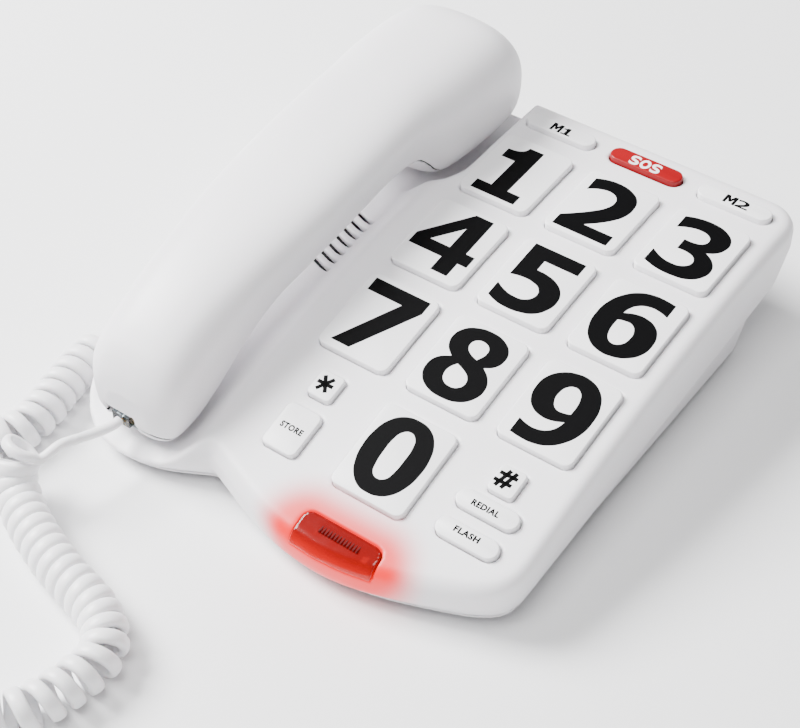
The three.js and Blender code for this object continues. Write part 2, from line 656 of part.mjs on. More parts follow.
// The cord leaves the handset's end, is curled nearly all its length, and comes back along the left side
// of the base to its jack. The curled stretch is given by its middle line and drawn as one thick tube.
const LEAD_HANDSET = [
  [-62.5, -97.7, 18.3], [-62.6, -101, 18.5], [-63.3, -105, 19.2], [-64.7, -110, 20.6], [-66.6, -115, 22.4],
  [-68.6, -119.5, 24.4], [-70.4, -122.6, 26.2],
];
const COIL_LINE = [
  [-76.8, -127.4, 22.5], [-78.4, -131.6, 17.2], [-76.8, -135.3, 11.8], [-71.8, -138.6, 8.6],
  [-64.5, -142.8, 8.1], [-55, -146.9, 8.1], [-42.4, -151.4, 8.1], [-31.6, -154.3, 8.1],
  [-20.8, -157, 8.1], [-12.8, -161, 8.1], [-7.6, -166.2, 8.1], [-5.4, -172.5, 8.1],
  [-5.8, -179.1, 8.1], [-7, -185.9, 8.1], [-8.4, -192, 8.1], [-10.6, -197.8, 8.1],
  [-15, -203.4, 8.1], [-24, -210, 8.1], [-38, -215.5, 8.1], [-56, -218.5, 8.1],
  [-76, -218, 8.1], [-95, -213, 8.1], [-112, -203, 8.1], [-124.5, -189, 8.1],
  [-130.5, -173, 8.1], [-130, -157, 8.1], [-122.5, -143.5, 8.1], [-111, -134, 8.1],
  [-101, -125.5, 8.1], [-95.5, -115, 8.1], [-96, -103, 8.1], [-98.6, -91, 8.1],
  [-100.6, -79, 8.1], [-101.2, -67, 8.1], [-101.2, -62, 8.1],
];
const LEAD_BASE = [
  [-101.2, -61.6, 8.2], [-101.3, -57, 8.6], [-101.6, -52, 9.8], [-101.8, -47, 11.8], [-101.2, -43, 13.8],
  [-99.2, -40.7, 15.1], [-96.4, -40, 15.5], [-94.3, -40, 15.5],
];

function addCord() {
  add("cord_lead_handset", tube(LEAD_HANDSET, CORD, 8, 10), CORD_PVC);
  add("cord_coil", tube(COIL_LINE, COIL, 10, 70), CORD_PVC);
  add("cord_lead_base", tube(LEAD_BASE, CORD, 8, 12), CORD_PVC);
}

addBaseShells();
addScrews();
addFeet();
addKeypad();
addKeys();
addIndicator();
addBaseFittings();
addHandset();
addCord();

export default phone;
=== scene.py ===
"""A corded desk telephone with large keys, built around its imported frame.

Lengths in the source are millimetres, as on a maker's drawing, and become metres where a mesh is
made.
"""

import math

import bmesh
import bpy
import numpy as np
from mathutils import Matrix, Vector


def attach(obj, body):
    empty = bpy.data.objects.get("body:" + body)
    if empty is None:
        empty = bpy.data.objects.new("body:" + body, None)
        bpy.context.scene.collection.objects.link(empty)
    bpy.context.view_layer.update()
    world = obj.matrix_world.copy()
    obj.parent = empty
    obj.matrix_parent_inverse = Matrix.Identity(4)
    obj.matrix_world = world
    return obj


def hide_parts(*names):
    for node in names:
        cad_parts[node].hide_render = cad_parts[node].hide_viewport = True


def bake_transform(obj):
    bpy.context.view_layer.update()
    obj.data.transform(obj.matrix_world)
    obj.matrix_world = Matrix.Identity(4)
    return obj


bl_info = {
    "name": "Large-Key Desk Telephone",
    "version": (1, 0, 0),
    "blender": (4, 5, 0),
    "location": "View3D > Sidebar > Telephone",
    "description": "Makes the shells, keys, cord and printing of a desk telephone",
    "category": "Object",
}

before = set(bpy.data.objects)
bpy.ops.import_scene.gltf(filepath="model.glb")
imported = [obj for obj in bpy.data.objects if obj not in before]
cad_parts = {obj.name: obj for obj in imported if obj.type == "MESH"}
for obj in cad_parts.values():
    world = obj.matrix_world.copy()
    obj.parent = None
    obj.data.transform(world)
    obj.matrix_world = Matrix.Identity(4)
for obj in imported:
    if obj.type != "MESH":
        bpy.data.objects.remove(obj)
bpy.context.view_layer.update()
MM = 0.001

# ------------------------------------------------------------------ dimensions the frame has too

GAP = 0.35
WALL = 2.2
HALF_WIDTH = 91.6
REAR_Y = 104.0
ARCH_RADIUS = 630.0
ARCH_TOP_Y = 95.1
ARCH_TOP_Z = 49.6
EDGE = 4.5
RIM_INSET = 3.0
PAN = 2.5
TROUGH_X = -30.5
TROUGH_DEPTH = 10.2
EAR_X = -54.0
KEY_PITCH_X = 37.0
KEY_PITCH_S = 42.7
KEY_X = [31.5 + column * KEY_PITCH_X for column in (-1, 0, 1)]
LENS_X, LENS_HALF, LENS_Y, LENS_Z = 32.2, 15.7, -92.6, 14.4
# The glow round the window: its middle, half its core's length, and where its fading starts
# The painted red light round the window on the cover: its middle, half its core's length, and
# where its fading starts and stops.
HALO_AT = (LENS_X, -100.5, 19)
HALO_HALF, HALO_FULL, HALO_END = 12.5, 7, 25
SCREWS = [(50, 39.8), (50, -44.5), (-72, 38), (-74, -48)]
PLUNGER_Y = 74
RINGER = (-53.0, 8.0)
COIL = 16.0


def arch_z(y):
    return ARCH_TOP_Z - ARCH_RADIUS + math.sqrt(ARCH_RADIUS**2 - (ARCH_TOP_Y - y) ** 2)


def rim_z(y):
    return 4.1 + 0.0921 * (y + 102.5)


def deck_matrix(x, s):
    """Frame of a point of the deck, in metres: x across, s along the arch from its level line."""
    angle = s / ARCH_RADIUS
    y = ARCH_TOP_Y - ARCH_RADIUS * math.sin(angle)
    z = ARCH_TOP_Z - ARCH_RADIUS * (1 - math.cos(angle))
    return Matrix.Translation(Vector((x, y, z)) * MM) @ Matrix.Rotation(angle, 4, "X")


# ------------------------------------------------------------------ meshes


def mesh_object(name, points, faces):
    mesh = bpy.data.meshes.new(name)
    mesh.from_pydata([tuple(c * MM for c in p) for p in points], [], faces)
    mesh.update()
    made = bpy.data.objects.new(name, mesh)
    bpy.context.scene.collection.objects.link(made)
    return made


def loft(name, rings):
    """A closed body through rings of equal count that turn the same way, each end closed by one
    face.
    """
    count = len(rings[0])
    points = [tuple(p) for ring in rings for p in ring]
    faces = []
    for i in range(len(rings) - 1):
        for j in range(count):
            k = (j + 1) % count
            faces.append((i * count + j, i * count + k, (i + 1) * count + k, (i + 1) * count + j))
    faces.append(tuple(reversed(range(count))))
    faces.append(tuple(range((len(rings) - 1) * count, len(rings) * count)))
    return outward(mesh_object(name, points, faces))


def outward(made):
    work = bmesh.new()
    work.from_mesh(made.data)
    bmesh.ops.recalc_face_normals(work, faces=work.faces)
    work.to_mesh(made.data)
    work.free()
    return made


def block(low, high):
    spans = list(zip(low, high))
    corners = [(x, y, z) for z in spans[2] for y in spans[1] for x in spans[0]]
    faces = [(0, 2, 3, 1), (4, 5, 7, 6), (0, 1, 5, 4), (2, 6, 7, 3), (0, 4, 6, 2), (1, 3, 7, 5)]
    return mesh_object("block", corners, faces)


def disc(x, y, z0, z1, radius, sides=24):
    turn = [2 * math.pi * i / sides for i in range(sides)]
    circle = [(x + radius * math.cos(a), y + radius * math.sin(a)) for a in turn]
    return loft("disc", [[(px, py, z) for px, py in circle] for z in (z0, z1)])


def rounded_ring(width, height, radius, z, steps=6):
    """Corner points of a rounded rectangle about the origin, at height z."""
    points = []
    for turn in range(4):
        cx = (width / 2 - radius) * (1 if turn in (0, 3) else -1)
        cy = (height / 2 - radius) * (1 if turn in (0, 1) else -1)
        for i in range(steps + 1):
            a = math.pi / 2 * (turn + i / steps)
            points.append((cx + radius * math.cos(a), cy + radius * math.sin(a), z))
    return points


def settle(made):
    """Applies an object's modifiers and returns it."""
    depsgraph = bpy.context.evaluated_depsgraph_get()
    mesh = bpy.data.meshes.new_from_object(made.evaluated_get(depsgraph))
    made.modifiers.clear()
    made.data = mesh
    return made


def carve(made, cutters, operation="DIFFERENCE"):
    """Joins, removes or keeps the cutters' space, one after the other, and deletes them."""
    for cutter in cutters:
        step = made.modifiers.new("carve", "BOOLEAN")
        step.operation = operation
        step.solver = "EXACT"
        step.object = cutter
        settle(made)
        bpy.data.objects.remove(cutter)
    return made


def moulded(made, grain, passes=2, soft=None):
    """Rounds edges as a mould does: a fine even mesh, relaxed a little, more where soft says."""
    remesh = made.modifiers.new("even", "REMESH")
    remesh.mode = "VOXEL"
    remesh.voxel_size = grain * MM
    settle(made)
    mesh = made.data
    count = len(mesh.vertices)
    at = np.empty(count * 3)
    mesh.vertices.foreach_get("co", at)
    at = at.reshape(-1, 3)
    edges = np.empty(len(mesh.edges) * 2, int)
    mesh.edges.foreach_get("vertices", edges)
    a, b = edges.reshape(-1, 2).T
    valence = (np.bincount(a, minlength=count) + np.bincount(b, minlength=count))[:, None]

    def relax(weight, rounds):
        nonlocal at
        for _ in range(rounds):
            total = np.stack(
                [
                    np.bincount(a, at[b, c], count) + np.bincount(b, at[a, c], count)
                    for c in range(3)
                ],
                axis=1,
            )
            at = at + weight * (total / valence - at)

    relax(0.5, passes)
    if soft:
        weight, rounds = soft
        relax(0.6 * weight(at / MM)[:, None], rounds)
    mesh.vertices.foreach_set("co", at.ravel())
    mesh.update()
    smooth(made)
    return made


def smooth(made, angle=None):
    mesh = made.data
    mesh.polygons.foreach_set("use_smooth", [True] * len(mesh.polygons))
    if angle is not None:
        mesh.set_sharp_from_angle(angle=math.radians(angle))
    return made


def finish_piece(made, name, body, material, nodes=()):
    made.name = name
    if made.data:
        made.data.name = name
        made.data.materials.clear()
        made.data.materials.append(material)
    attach(made, body)
    if nodes:
        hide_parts(*nodes)
    return made


# ------------------------------------------------------------------ materials


def linear(hex_colour):
    """An sRGB hex value as linear red, green, blue and alpha."""
    channels = [int(hex_colour[i : i + 2], 16) / 255 for i in (0, 2, 4)]
    return [c / 12.92 if c <= 0.04045 else ((c + 0.055) / 1.055) ** 2.4 for c in channels] + [1.0]


def node(tree, kind, settings=None, links=None, values=None, stops=()):
    """Adds a node with its settings, links from (node, output), input values and ramp stops."""
    made = tree.nodes.new(kind)
    for key, value in (settings or {}).items():
        setattr(made, key, value)
    for key, value in (values or {}).items():
        made.inputs[key].default_value = value
    for key, (source, output) in (links or {}).items():
        tree.links.new(source.outputs[output], made.inputs[key])
    for _ in stops[2:]:
        made.color_ramp.elements.new(0.5)
    for element, (position, colour) in zip(made.color_ramp.elements if stops else (), stops):
        element.position = position
        element.color = colour
    return made


def new_material(name, colour, roughness, values=None):
    """A material named for the real finish, with the values that are the same all over it."""
    material = bpy.data.materials.new(name)
    material.use_nodes = True
    tree = material.node_tree
    shader = tree.nodes["Principled BSDF"]
    shader.inputs["Base Color"].default_value = colour
    shader.inputs["Roughness"].default_value = roughness
    for key, value in (values or {}).items():
        shader.inputs[key].default_value = value
    material.diffuse_color = colour
    return material, tree, shader


def grained(tree, shader, size_mm, height_mm, rough):
    """Fine texture of a moulded surface: bump of that grain, and gloss that varies with it."""
    place = node(tree, "ShaderNodeTexCoord")
    noise = node(
        tree,
        "ShaderNodeTexNoise",
        links={"Vector": (place, "Object")},
        values={"Scale": 1 / (size_mm * MM), "Detail": 3.0},
    )
    bump = node(
        tree,
        "ShaderNodeBump",
        links={"Height": (noise, "Fac")},
        values={"Strength": 0.5, "Distance": height_mm * MM},
    )
    tree.links.new(bump.outputs["Normal"], shader.inputs["Normal"])
    spread = node(
        tree,
        "ShaderNodeMapRange",
        links={"Value": (noise, "Fac")},
        values={"To Min": rough[0], "To Max": rough[1]},
    )
    tree.links.new(spread.outputs["Result"], shader.inputs["Roughness"])
    return place


def tinted(tree, shader, place, size_mm, spread=0.03):
    """Slow drift of colour over a moulding, as its wall and its pigment vary."""
    own = shader.inputs["Base Color"].default_value[:3]
    low, high = ([min(1.0, c * k) for c in own] + [1.0] for k in (1 - spread, 1 + spread))
    drift = node(
        tree,
        "ShaderNodeTexNoise",
        links={"Vector": (place, "Object")},
        values={"Scale": 1 / (size_mm * MM), "Detail": 1.0},
    )
    colour = node(
        tree,
        "ShaderNodeValToRGB",
        links={"Fac": (drift, "Fac")},
        stops=((0.3, low), (0.7, high)),
    )
    tree.links.new(colour.outputs["Color"], shader.inputs["Base Color"])
    return colour


def painted_halo(tree, shader, place, colour):
    """Painted red light of the indicator on the cover round it, kept in the cover's own finish: red
    colour and red emission that fade away from the window.
    """
    shift = node(
        tree,
        "ShaderNodeVectorMath",
        {"operation": "SUBTRACT"},
        {0: (place, "Object")},
        {1: tuple(c * MM for c in HALO_AT)},
    )
    # Distance past the window's ends along it, and plain distance across it.
    split = node(tree, "ShaderNodeSeparateXYZ", links={0: (shift, 0)})
    across = node(tree, "ShaderNodeMath", {"operation": "ABSOLUTE"}, {0: (split, "X")})
    past = node(
        tree,
        "ShaderNodeMath",
        {"operation": "SUBTRACT", "use_clamp": True},
        {0: (across, 0)},
        {1: HALO_HALF * MM},
    )
    joined = node(
        tree, "ShaderNodeCombineXYZ", links={"X": (past, 0), "Y": (split, "Y"), "Z": (split, "Z")}
    )
    far = node(tree, "ShaderNodeVectorMath", {"operation": "LENGTH"}, {0: (joined, 0)})
    share = node(
        tree,
        "ShaderNodeMapRange",
        {"interpolation_type": "SMOOTHERSTEP"},
        {"Value": (far, "Value")},
        {"From Min": HALO_FULL * MM, "From Max": HALO_END * MM, "To Min": 1.0, "To Max": 0.0},
    )
    # The cover's colour turns red near the window: painted red light.
    painted_tone = node(
        tree,
        "ShaderNodeMix",
        {"data_type": "RGBA"},
        {0: (share, 0), 6: (colour, "Color")},
        {7: linear("B80008")},
    )
    tree.links.new(painted_tone.outputs[2], shader.inputs["Base Color"])
    # Red emission on the cover, which is no lamp: painted light.
    painted_glow = node(
        tree,
        "ShaderNodeMix",
        {"data_type": "RGBA"},
        {0: (share, 0)},
        {6: (0, 0, 0, 1), 7: linear("FF0810")},
    )
    tree.links.new(painted_glow.outputs[2], shader.inputs["Emission Color"])
    shader.inputs["Emission Strength"].default_value = 1.2


def make_materials(sizes):
    """Every finish of the telephone, by the name that its pieces use."""
    made = {}

    # Injection-moulded ABS from a lightly spark-eroded mould: satin, with soft wide highlights. The
    # cover has the indicator's red light painted on round its window.
    for key in ("shell", "shell_plain", "handset"):
        values = {"IOR": 1.53, "Subsurface Weight": 0.04, "Subsurface Scale": 0.0015}
        name = "abs_white_satin_" + key
        material, tree, shader = new_material(name, sizes.shell_colour, 0.4, values)
        place = grained(tree, shader, 0.9, 0.018, (0.36, 0.46))
        colour = tinted(tree, shader, place, 60)
        # Only the base cover gets the painted red light round the indicator's window.
        if key == "shell":
            painted_halo(tree, shader, place, colour)
        made[key] = material

    # Every finish of one colour: its name, colour, grain in mm, the grain's height in mm, range of
    # roughness, size in mm of its drift in colour, and the values that are the same all over it.
    plain = {
        # Keys come from a polished mould: a little whiter and glossier than the shell.
        "key": (
            "abs_white_polished", sizes.key_colour, 1.3, 0.012, (0.27, 0.34), 30, {"IOR": 1.53}
        ),
        "sos": (
            "abs_red_polished", sizes.sos_colour, 1.3, 0.012, (0.3, 0.38), 12,
            {"Specular IOR Level": 0.3},
        ),
        # Pad-printed ink: a thin dull film with the faint mottle of the pad.
        "ink_black": (
            "pad_print_black", linear("050506"), 0.5, 0.01, (0.55, 0.68), 4,
            {"Specular IOR Level": 0.05},
        ),
        "ink_white": (
            "pad_print_white", linear("FBF7F7"), 0.5, 0.01, (0.5, 0.6), 4,
            {"Specular IOR Level": 0.3},
        ),
        # Flexible PVC jacket: extruded, so it is smooth with a soft sheen.
        "cord": (
            "pvc_white_extruded", sizes.cord_colour, 2.4, 0.03, (0.32, 0.42), 25,
            {"IOR": 1.54, "Subsurface Weight": 0.06, "Subsurface Scale": 0.001},
        ),
        # Black ABS of jacks, switches and speakers: dull and coarser, so that openings look dark.
        # The same black also fills the handset's parting line as painted shadow.
        "black": ("abs_black_moulded_and_seam_shadow", linear("121214"), 0.7, 0.03, (0.45, 0.6), 8, {}),
        # Gold plating on the contacts: a bright yellow metal against the dark jack.
        "gold": (
            "gold_plated_contact", linear("D8A848"), 0.3, 0.005, (0.18, 0.3), 2, {"Metallic": 1.0}
        ),
        # Zinc-plated steel: a bluish metal, half bright.
        "steel": (
            "steel_zinc_plated", linear("B9BCC2"), 0.4, 0.01, (0.25, 0.42), 3, {"Metallic": 1.0}
        ),
        # Moulded rubber of the feet: matt, with almost no highlight.
        "rubber": ("rubber_grey_moulded", linear("8C8D91"), 0.5, 0.06, (0.75, 0.9), 5, {}),
        # Silicone of the key mat: matt and milky grey under the keys.
        "silicone": ("silicone_grey_moulded", linear("CFD0CC"), 0.8, 0.03, (0.55, 0.7), 12, {}),
        # Glass-epoxy board under green solder mask: an even half gloss.
        "board": ("glass_epoxy_green", linear("2C6E40"), 0.5, 0.01, (0.3, 0.42), 3, {}),
        # Clear polycarbonate of the plugs: sharp highlights, and the wire shows through.
        "clear": (
            "polycarbonate_clear", linear("C8D4D8"), 1.5, 0.02, (0.05, 0.12), 6,
            {"IOR": 1.45, "Transmission Weight": 0.97, "Specular IOR Level": 0.3},
        ),
        # Red acrylic behind the window, etched so that it spreads the lamps' light; its faint red
        # emission is painted lamp light.
        "reflector": (
            "acrylic_red_etched", linear("480101"), 0.6, 0.04, (0.35, 0.6), 6,
            {
                "Emission Color": linear("B00402"),
                "Emission Strength": 0.12,
                "Specular IOR Level": 0.3,
            },
        ),
        # Epoxy of a lit lamp: the brightest red behind the window.
        "lamp": (
            "epoxy_red_lit", linear("FF3018"), 1.0, 0.01, (0.12, 0.2), 3,
            {"Emission Color": linear("FF2810"), "Emission Strength": 2.5},
        ),
        # White paper on the table: no highlight, so only the shadows draw on it.
        "table": ("paper_white", linear("F4F4F5"), 2.0, 0.01, (0.85, 0.95), 400, {}),
    }
    for key, (name, colour, grain, height, rough, drift, values) in plain.items():
        material, tree, shader = new_material(name, colour, rough[0], values)
        tinted(tree, shader, grained(tree, shader, grain, height, rough), drift)
        made[key] = material

    # Red transparent acrylic, lit from behind by two lamps: clear gloss outside. The lamps' light
    # in
    # it is painted: a ramp by height sets its red colour and its emission, brighter and more orange
    # along its lower edge.
    values = {
        "IOR": 1.49,
        "Transmission Weight": 0.55,
        "Specular IOR Level": 0.2,
        "Emission Strength": 0.36,
    }
    material, tree, shader = new_material("acrylic_red_clear", linear("A00402"), 0.12, values)
    place = grained(tree, shader, 3.5, 0.05, (0.1, 0.16))
    split = node(tree, "ShaderNodeSeparateXYZ", links={0: (place, "Object")})
    height = node(
        tree,
        "ShaderNodeMapRange",
        links={"Value": (split, "Z")},
        values={"From Min": 0.0135, "From Max": 0.0235},
    )
    # Painted lamp light: red by height, brightest and most orange at the window's lower edge.
    stops = ((0.0, "F81C04"), (0.2, "C80A02"), (0.5, "960301"), (1.0, "7C0101"))
    painted_tone = node(
        tree,
        "ShaderNodeValToRGB",
        links={"Fac": (height, 0)},
        stops=[(position, linear(colour)) for position, colour in stops],
    )
    tree.links.new(painted_tone.outputs["Color"], shader.inputs["Base Color"])
    tree.links.new(painted_tone.outputs["Color"], shader.inputs["Emission Color"])
    made["lens"] = material
    return made


MATERIALS = {}


# ------------------------------------------------------------------ base shells


def arc(cx, cy, radius, start, stop, steps=12):
    turn = [math.radians(start + (stop - start) * i / steps) for i in range(steps + 1)]
    return [(cx + radius * math.cos(a), cy + radius * math.sin(a)) for a in turn]


def bezier(p0, p1, p2, p3, steps=24):
    made = []
    for i in range(1, steps + 1):
        t = i / steps
        u = 1 - t
        shares = (u**3, 3 * u * u * t, 3 * u * t * t, t**3)
        made.append(tuple(sum(f * p[k] for f, p in zip(shares, (p0, p1, p2, p3))) for k in (0, 1)))
    return made


def evenly(points, spacing, closed=False):
    """Points at equal steps along a line through the given ones."""
    line = np.array(points, float)
    if closed:
        line = np.vstack([line, line[:1]])
    steps = np.linalg.norm(np.diff(line, axis=0), axis=1)
    along = np.concatenate([[0], np.cumsum(steps)])
    count = max(2, round(along[-1] / spacing))
    at = np.linspace(0, along[-1], count + 1)
    made = np.stack([np.interp(at, along, line[:, k]) for k in range(line.shape[1])], axis=1)
    return made[:-1] if closed else made


def base_outline():
    """Plan of the base at its widest line, with a lobe under the handset and a bowed front."""
    w, r = HALF_WIDTH, 13.0
    line = [(w, -72.0)]
    line += arc(w - r, REAR_Y - r, r, 0, 90)
    line += arc(-w + r, REAR_Y - r, r, 90, 180)
    line += [(-w, -68.0)]
    line += bezier((-w, -68), (-w, -88), (-80, -102), (-62, -102.5))
    line += bezier((-62, -102.5), (-46, -102.5), (-38, -97), (-26.5, -91.5))
    line += bezier((-26.5, -91.5), (-10, -97), (2, -103.5), (26, -104))
    line += bezier((26, -104), (43, -104), (61, -97.5), (76, -91.5))
    line += bezier((76, -91.5), (87, -87), (w, -82), (w, -72))[:-1]
    return evenly(line, 2.2, closed=True)


OUTLINE = base_outline()


def ring(distance, height):
    """The outline moved inwards, at a height that depends on y."""
    before = OUTLINE - np.roll(OUTLINE, 1, axis=0)
    after = np.roll(OUTLINE, -1, axis=0) - OUTLINE
    turn = before / np.linalg.norm(before, axis=1)[:, None]
    turn = turn + after / np.linalg.norm(after, axis=1)[:, None]
    turn /= np.linalg.norm(turn, axis=1)[:, None]
    moved = OUTLINE + distance * np.stack([-turn[:, 1], turn[:, 0]], axis=1)
    return [(x, y, height(y)) for x, y in moved]


def walls(inwards, lift=0.0, below=0.0):
    """The base's outer body with its rounded upper edge, moved inwards and up, and left tall."""
    rings = [ring(RIM_INSET + inwards, lambda y: rim_z(y) - below)]
    if below:
        rings.append(ring(RIM_INSET + inwards, rim_z))
    rings.append(ring(inwards, lambda y: max(rim_z(y) + 2, arch_z(y) - TROUGH_DEPTH)))
    for step in range(7):
        a = math.radians(15 * step)
        rings.append(
            ring(
                inwards + EDGE * (1 - math.cos(a)),
                lambda y: arch_z(y) + lift - EDGE * (1 - math.sin(a)),
            )
        )
    rings.append(ring(inwards + EDGE, lambda y: 80.0))
    return loft("walls", rings)


def prism_x(profile, x0, x1):
    return loft("prism", [[(x, y, z) for y, z in profile] for x in (x0, x1)])


def under_arch(depth):
    profile = [(130, -20)] + [(y, arch_z(y) - depth) for y in range(130, -131, -3)] + [(-130, -20)]
    return prism_x(profile, -125, 125)


def trough(depth):
    """The space of the handset's trough, lowered by depth and widened by it."""
    flank = []
    for u in (-1.5, 0.4, 1, 2, 3, 4, 5, 6, 7, 8, 9.5, 11, 13, 15, 17):
        t = max(0.0, u / 17) ** 0.78
        flank.append((u, TROUGH_DEPTH * t * t * (3 - 2 * t) if u > 0 else -0.05))
    far_side = [(-78, 10.2), (-81, 10.05), (-84, 9.6), (-87, 8.9), (-91, 7.9), (-104, 5.4)]
    rings = []
    for y in range(-130, 131, 5):
        top = arch_z(y) - depth
        edge = TROUGH_X + depth
        section = [(edge + 5, top + 60), (edge + 5, top + 0.7)]
        section += [(edge - u, top - drop) for u, drop in flank]
        section += [(x, top - drop) for x, drop in far_side]
        section += [(-104, top + 60)]
        rings.append([(x, y, z) for x, z in section])
    ear_width, ear_front, ear_radius = 61.2, 40.0, 18.0
    length = 2 * (REAR_Y + 20 - ear_front)
    ear = []
    for height in (38.2 - depth, 110):
        plan = rounded_ring(
            ear_width + 2 * depth, length + 2 * depth, ear_radius + depth, height, 10
        )
        ear.append([(x + EAR_X, y + ear_front + length / 2, z) for x, y, z in plan])
    return [loft("trough", rings), loft("ear recess", ear)]


def key_list():
    """Every key: name, place across, place along the arch, size, corner radius."""
    keys = []
    for row, digits in enumerate(("123", "456", "789", " 0 ")):
        for column, digit in enumerate(digits):
            if digit != " ":
                s = 34 + row * KEY_PITCH_S
                keys.append(("key_" + digit, KEY_X[column], s, 29.2, 34.8, 3.0))
    keys += [
        ("key_star", KEY_X[0], 150.3, 9.8, 10.6, 1.6),
        ("key_hash", KEY_X[2], 150.5, 9.8, 10.6, 1.6),
        ("key_store", KEY_X[0], 169.9, 14.0, 18.0, 2.4),
        ("key_redial", KEY_X[2], 162.0, 23.6, 7.0, 3.45),
        ("key_flash", KEY_X[2], 173.8, 23.6, 7.0, 3.45),
        ("key_m1", KEY_X[0], 3.6, 29.4, 7.2, 3.55),
        ("key_sos", KEY_X[1], 3.4, 29.8, 7.4, 3.65),
        ("key_m2", KEY_X[2], 3.6, 29.4, 7.2, 3.55),
    ]
    return keys


KEYS = key_list()


def merged(objects):
    """One object from several that don't touch."""
    work = bmesh.new()
    for made in objects:
        made.data.transform(made.matrix_world)
        work.from_mesh(made.data)
        bpy.data.objects.remove(made)
    mesh = bpy.data.meshes.new("merged")
    work.to_mesh(mesh)
    work.free()
    joined = bpy.data.objects.new("merged", mesh)
    bpy.context.scene.collection.objects.link(joined)
    return joined


def key_openings():
    made = []
    for _, x, s, width, height, corner in KEYS:
        rings = [rounded_ring(width + 2 * GAP, height + 2 * GAP, corner + GAP, z) for z in (-9, 8)]
        opening = loft("opening", rings)
        opening.data.transform(deck_matrix(x, s))
        made.append(opening)
    return made


def ringer_slots():
    middle_x, middle_y = RINGER
    pitch, slant, half, reach = 4.45, -0.36, 0.75, 11.0
    floor = arch_z(middle_y) - TROUGH_DEPTH
    made = []
    for i in range(7):
        slot = loft("slot", [rounded_ring(2 * reach, 2 * half, half - 0.02, z) for z in (-13, 13)])
        place = Matrix.Translation(
            Vector((middle_x + 2.5, middle_y + (i - 3) * pitch + 2, floor)) * MM
        ) @ Matrix.Rotation(slant, 4, "Z")
        slot.data.transform(place)
        made.append(slot)
    return made


def lens_space(grow):
    low, high = LENS_Y + grow - 60, LENS_Y + grow
    width = 2 * (LENS_HALF + grow)
    rings = []
    for level in (LENS_Z - grow, 60):
        plan = rounded_ring(width, high - low, 3.6 + grow, level, 8)
        rings.append([(x + LENS_X, y + (low + high) / 2, z) for x, y, z in plan])
    return loft("window", rings)


def base_cover(grain):
    """The white upper shell: key deck, trough, walls, and every opening in them."""
    cover = carve(walls(0), [under_arch(0)], "INTERSECT")
    carve(cover, trough(0))
    hollow = carve(walls(WALL, below=6), [under_arch(WALL)], "INTERSECT")
    carve(hollow, trough(WALL))
    carve(cover, [hollow])
    plunger = loft(
        "plunger way",
        [
            [(x + EAR_X, y + PLUNGER_Y, z) for x, y, z in rounded_ring(11.8, 7.8, 1.5, level)]
            for level in (20, 60)
        ],
    )
    # Openings for the line jack, the ringer switch and the cord's jack: middle and half sizes.
    sockets = [
        block((x - a, y - b, z - c), (x + a, y + b, z + c))
        for x, y, z, a, b, c in (
            (30, REAR_Y - 7, 33.5, 8.65, 9, 6.85),
            (58, REAR_Y - 5, 33, 5, 7, 2.2),
            (-HALF_WIDTH + 5.5, -40, 15.5, 7.5, 5.85, 4.85),
        )
    ]
    openings = key_openings() + ringer_slots() + sockets + [plunger, lens_space(GAP)]
    carve(cover, [merged(openings)])

    def left_part(at):
        """1 on the trough's crest and the lobe, 0 at the keys, slots and lower rim."""
        x, y, z = at.T
        share = np.clip((-22.5 - x) / 6, 0, 1) * np.clip((z - rim_z(y) - 1.5) / 2, 0, 1)
        slots = (x < -36) & (x > -70) & (abs(y - RINGER[1]) < 24)
        jack = (x < -70) & (abs(y + 40) < 12)
        rear = y > 92
        return np.where(slots | jack | rear, 0.0, share)

    return moulded(cover, grain, 2, (left_part, 16))


def base_tray(grain):
    """The lower shell: a thin pan, and the stand under it that leans out backwards."""
    pan = loft(
        "pan",
        [
            ring(RIM_INSET + 0.9, lambda y: rim_z(y) - PAN),
            ring(RIM_INSET + 0.1, lambda y: rim_z(y) - 0.6),
        ],
    )
    foot, rear, lean, rise = 3.0, 72.0, 11.0, 14.7
    top = rim_z(rear + lean) - PAN
    side = [(-96, foot - 1), (rear, foot - 1), (rear, foot + 1), (rear + lean, foot + 1 + rise)]
    side += [(rear + lean, top + 0.5), (-96, rim_z(-96) - PAN + 0.5)]
    stand = loft("stand", [ring(5.8, lambda y: foot), ring(5.8, lambda y: 60.0)])
    carve(stand, [prism_x(side, -100, 100)], "INTERSECT")
    carve(pan, [stand], "UNION")
    inset = 5.8 + WALL
    hollow = loft("hollow", [ring(inset, lambda y: foot + WALL), ring(inset, lambda y: 60.0)])
    carve(hollow, [block((-100, -64, foot + WALL - 1), (100, rear - WALL, 61))], "INTERSECT")
    carve(pan, [hollow])
    carve(pan, [merged([disc(x, y, 4, 7.5, 6) for x, y in SCREWS])], "UNION")
    carve(pan, [merged([disc(x, y, 0, 6.2, 3.9) for x, y in SCREWS])])
    return moulded(pan, grain, 1)


# ------------------------------------------------------------------ keys and printing

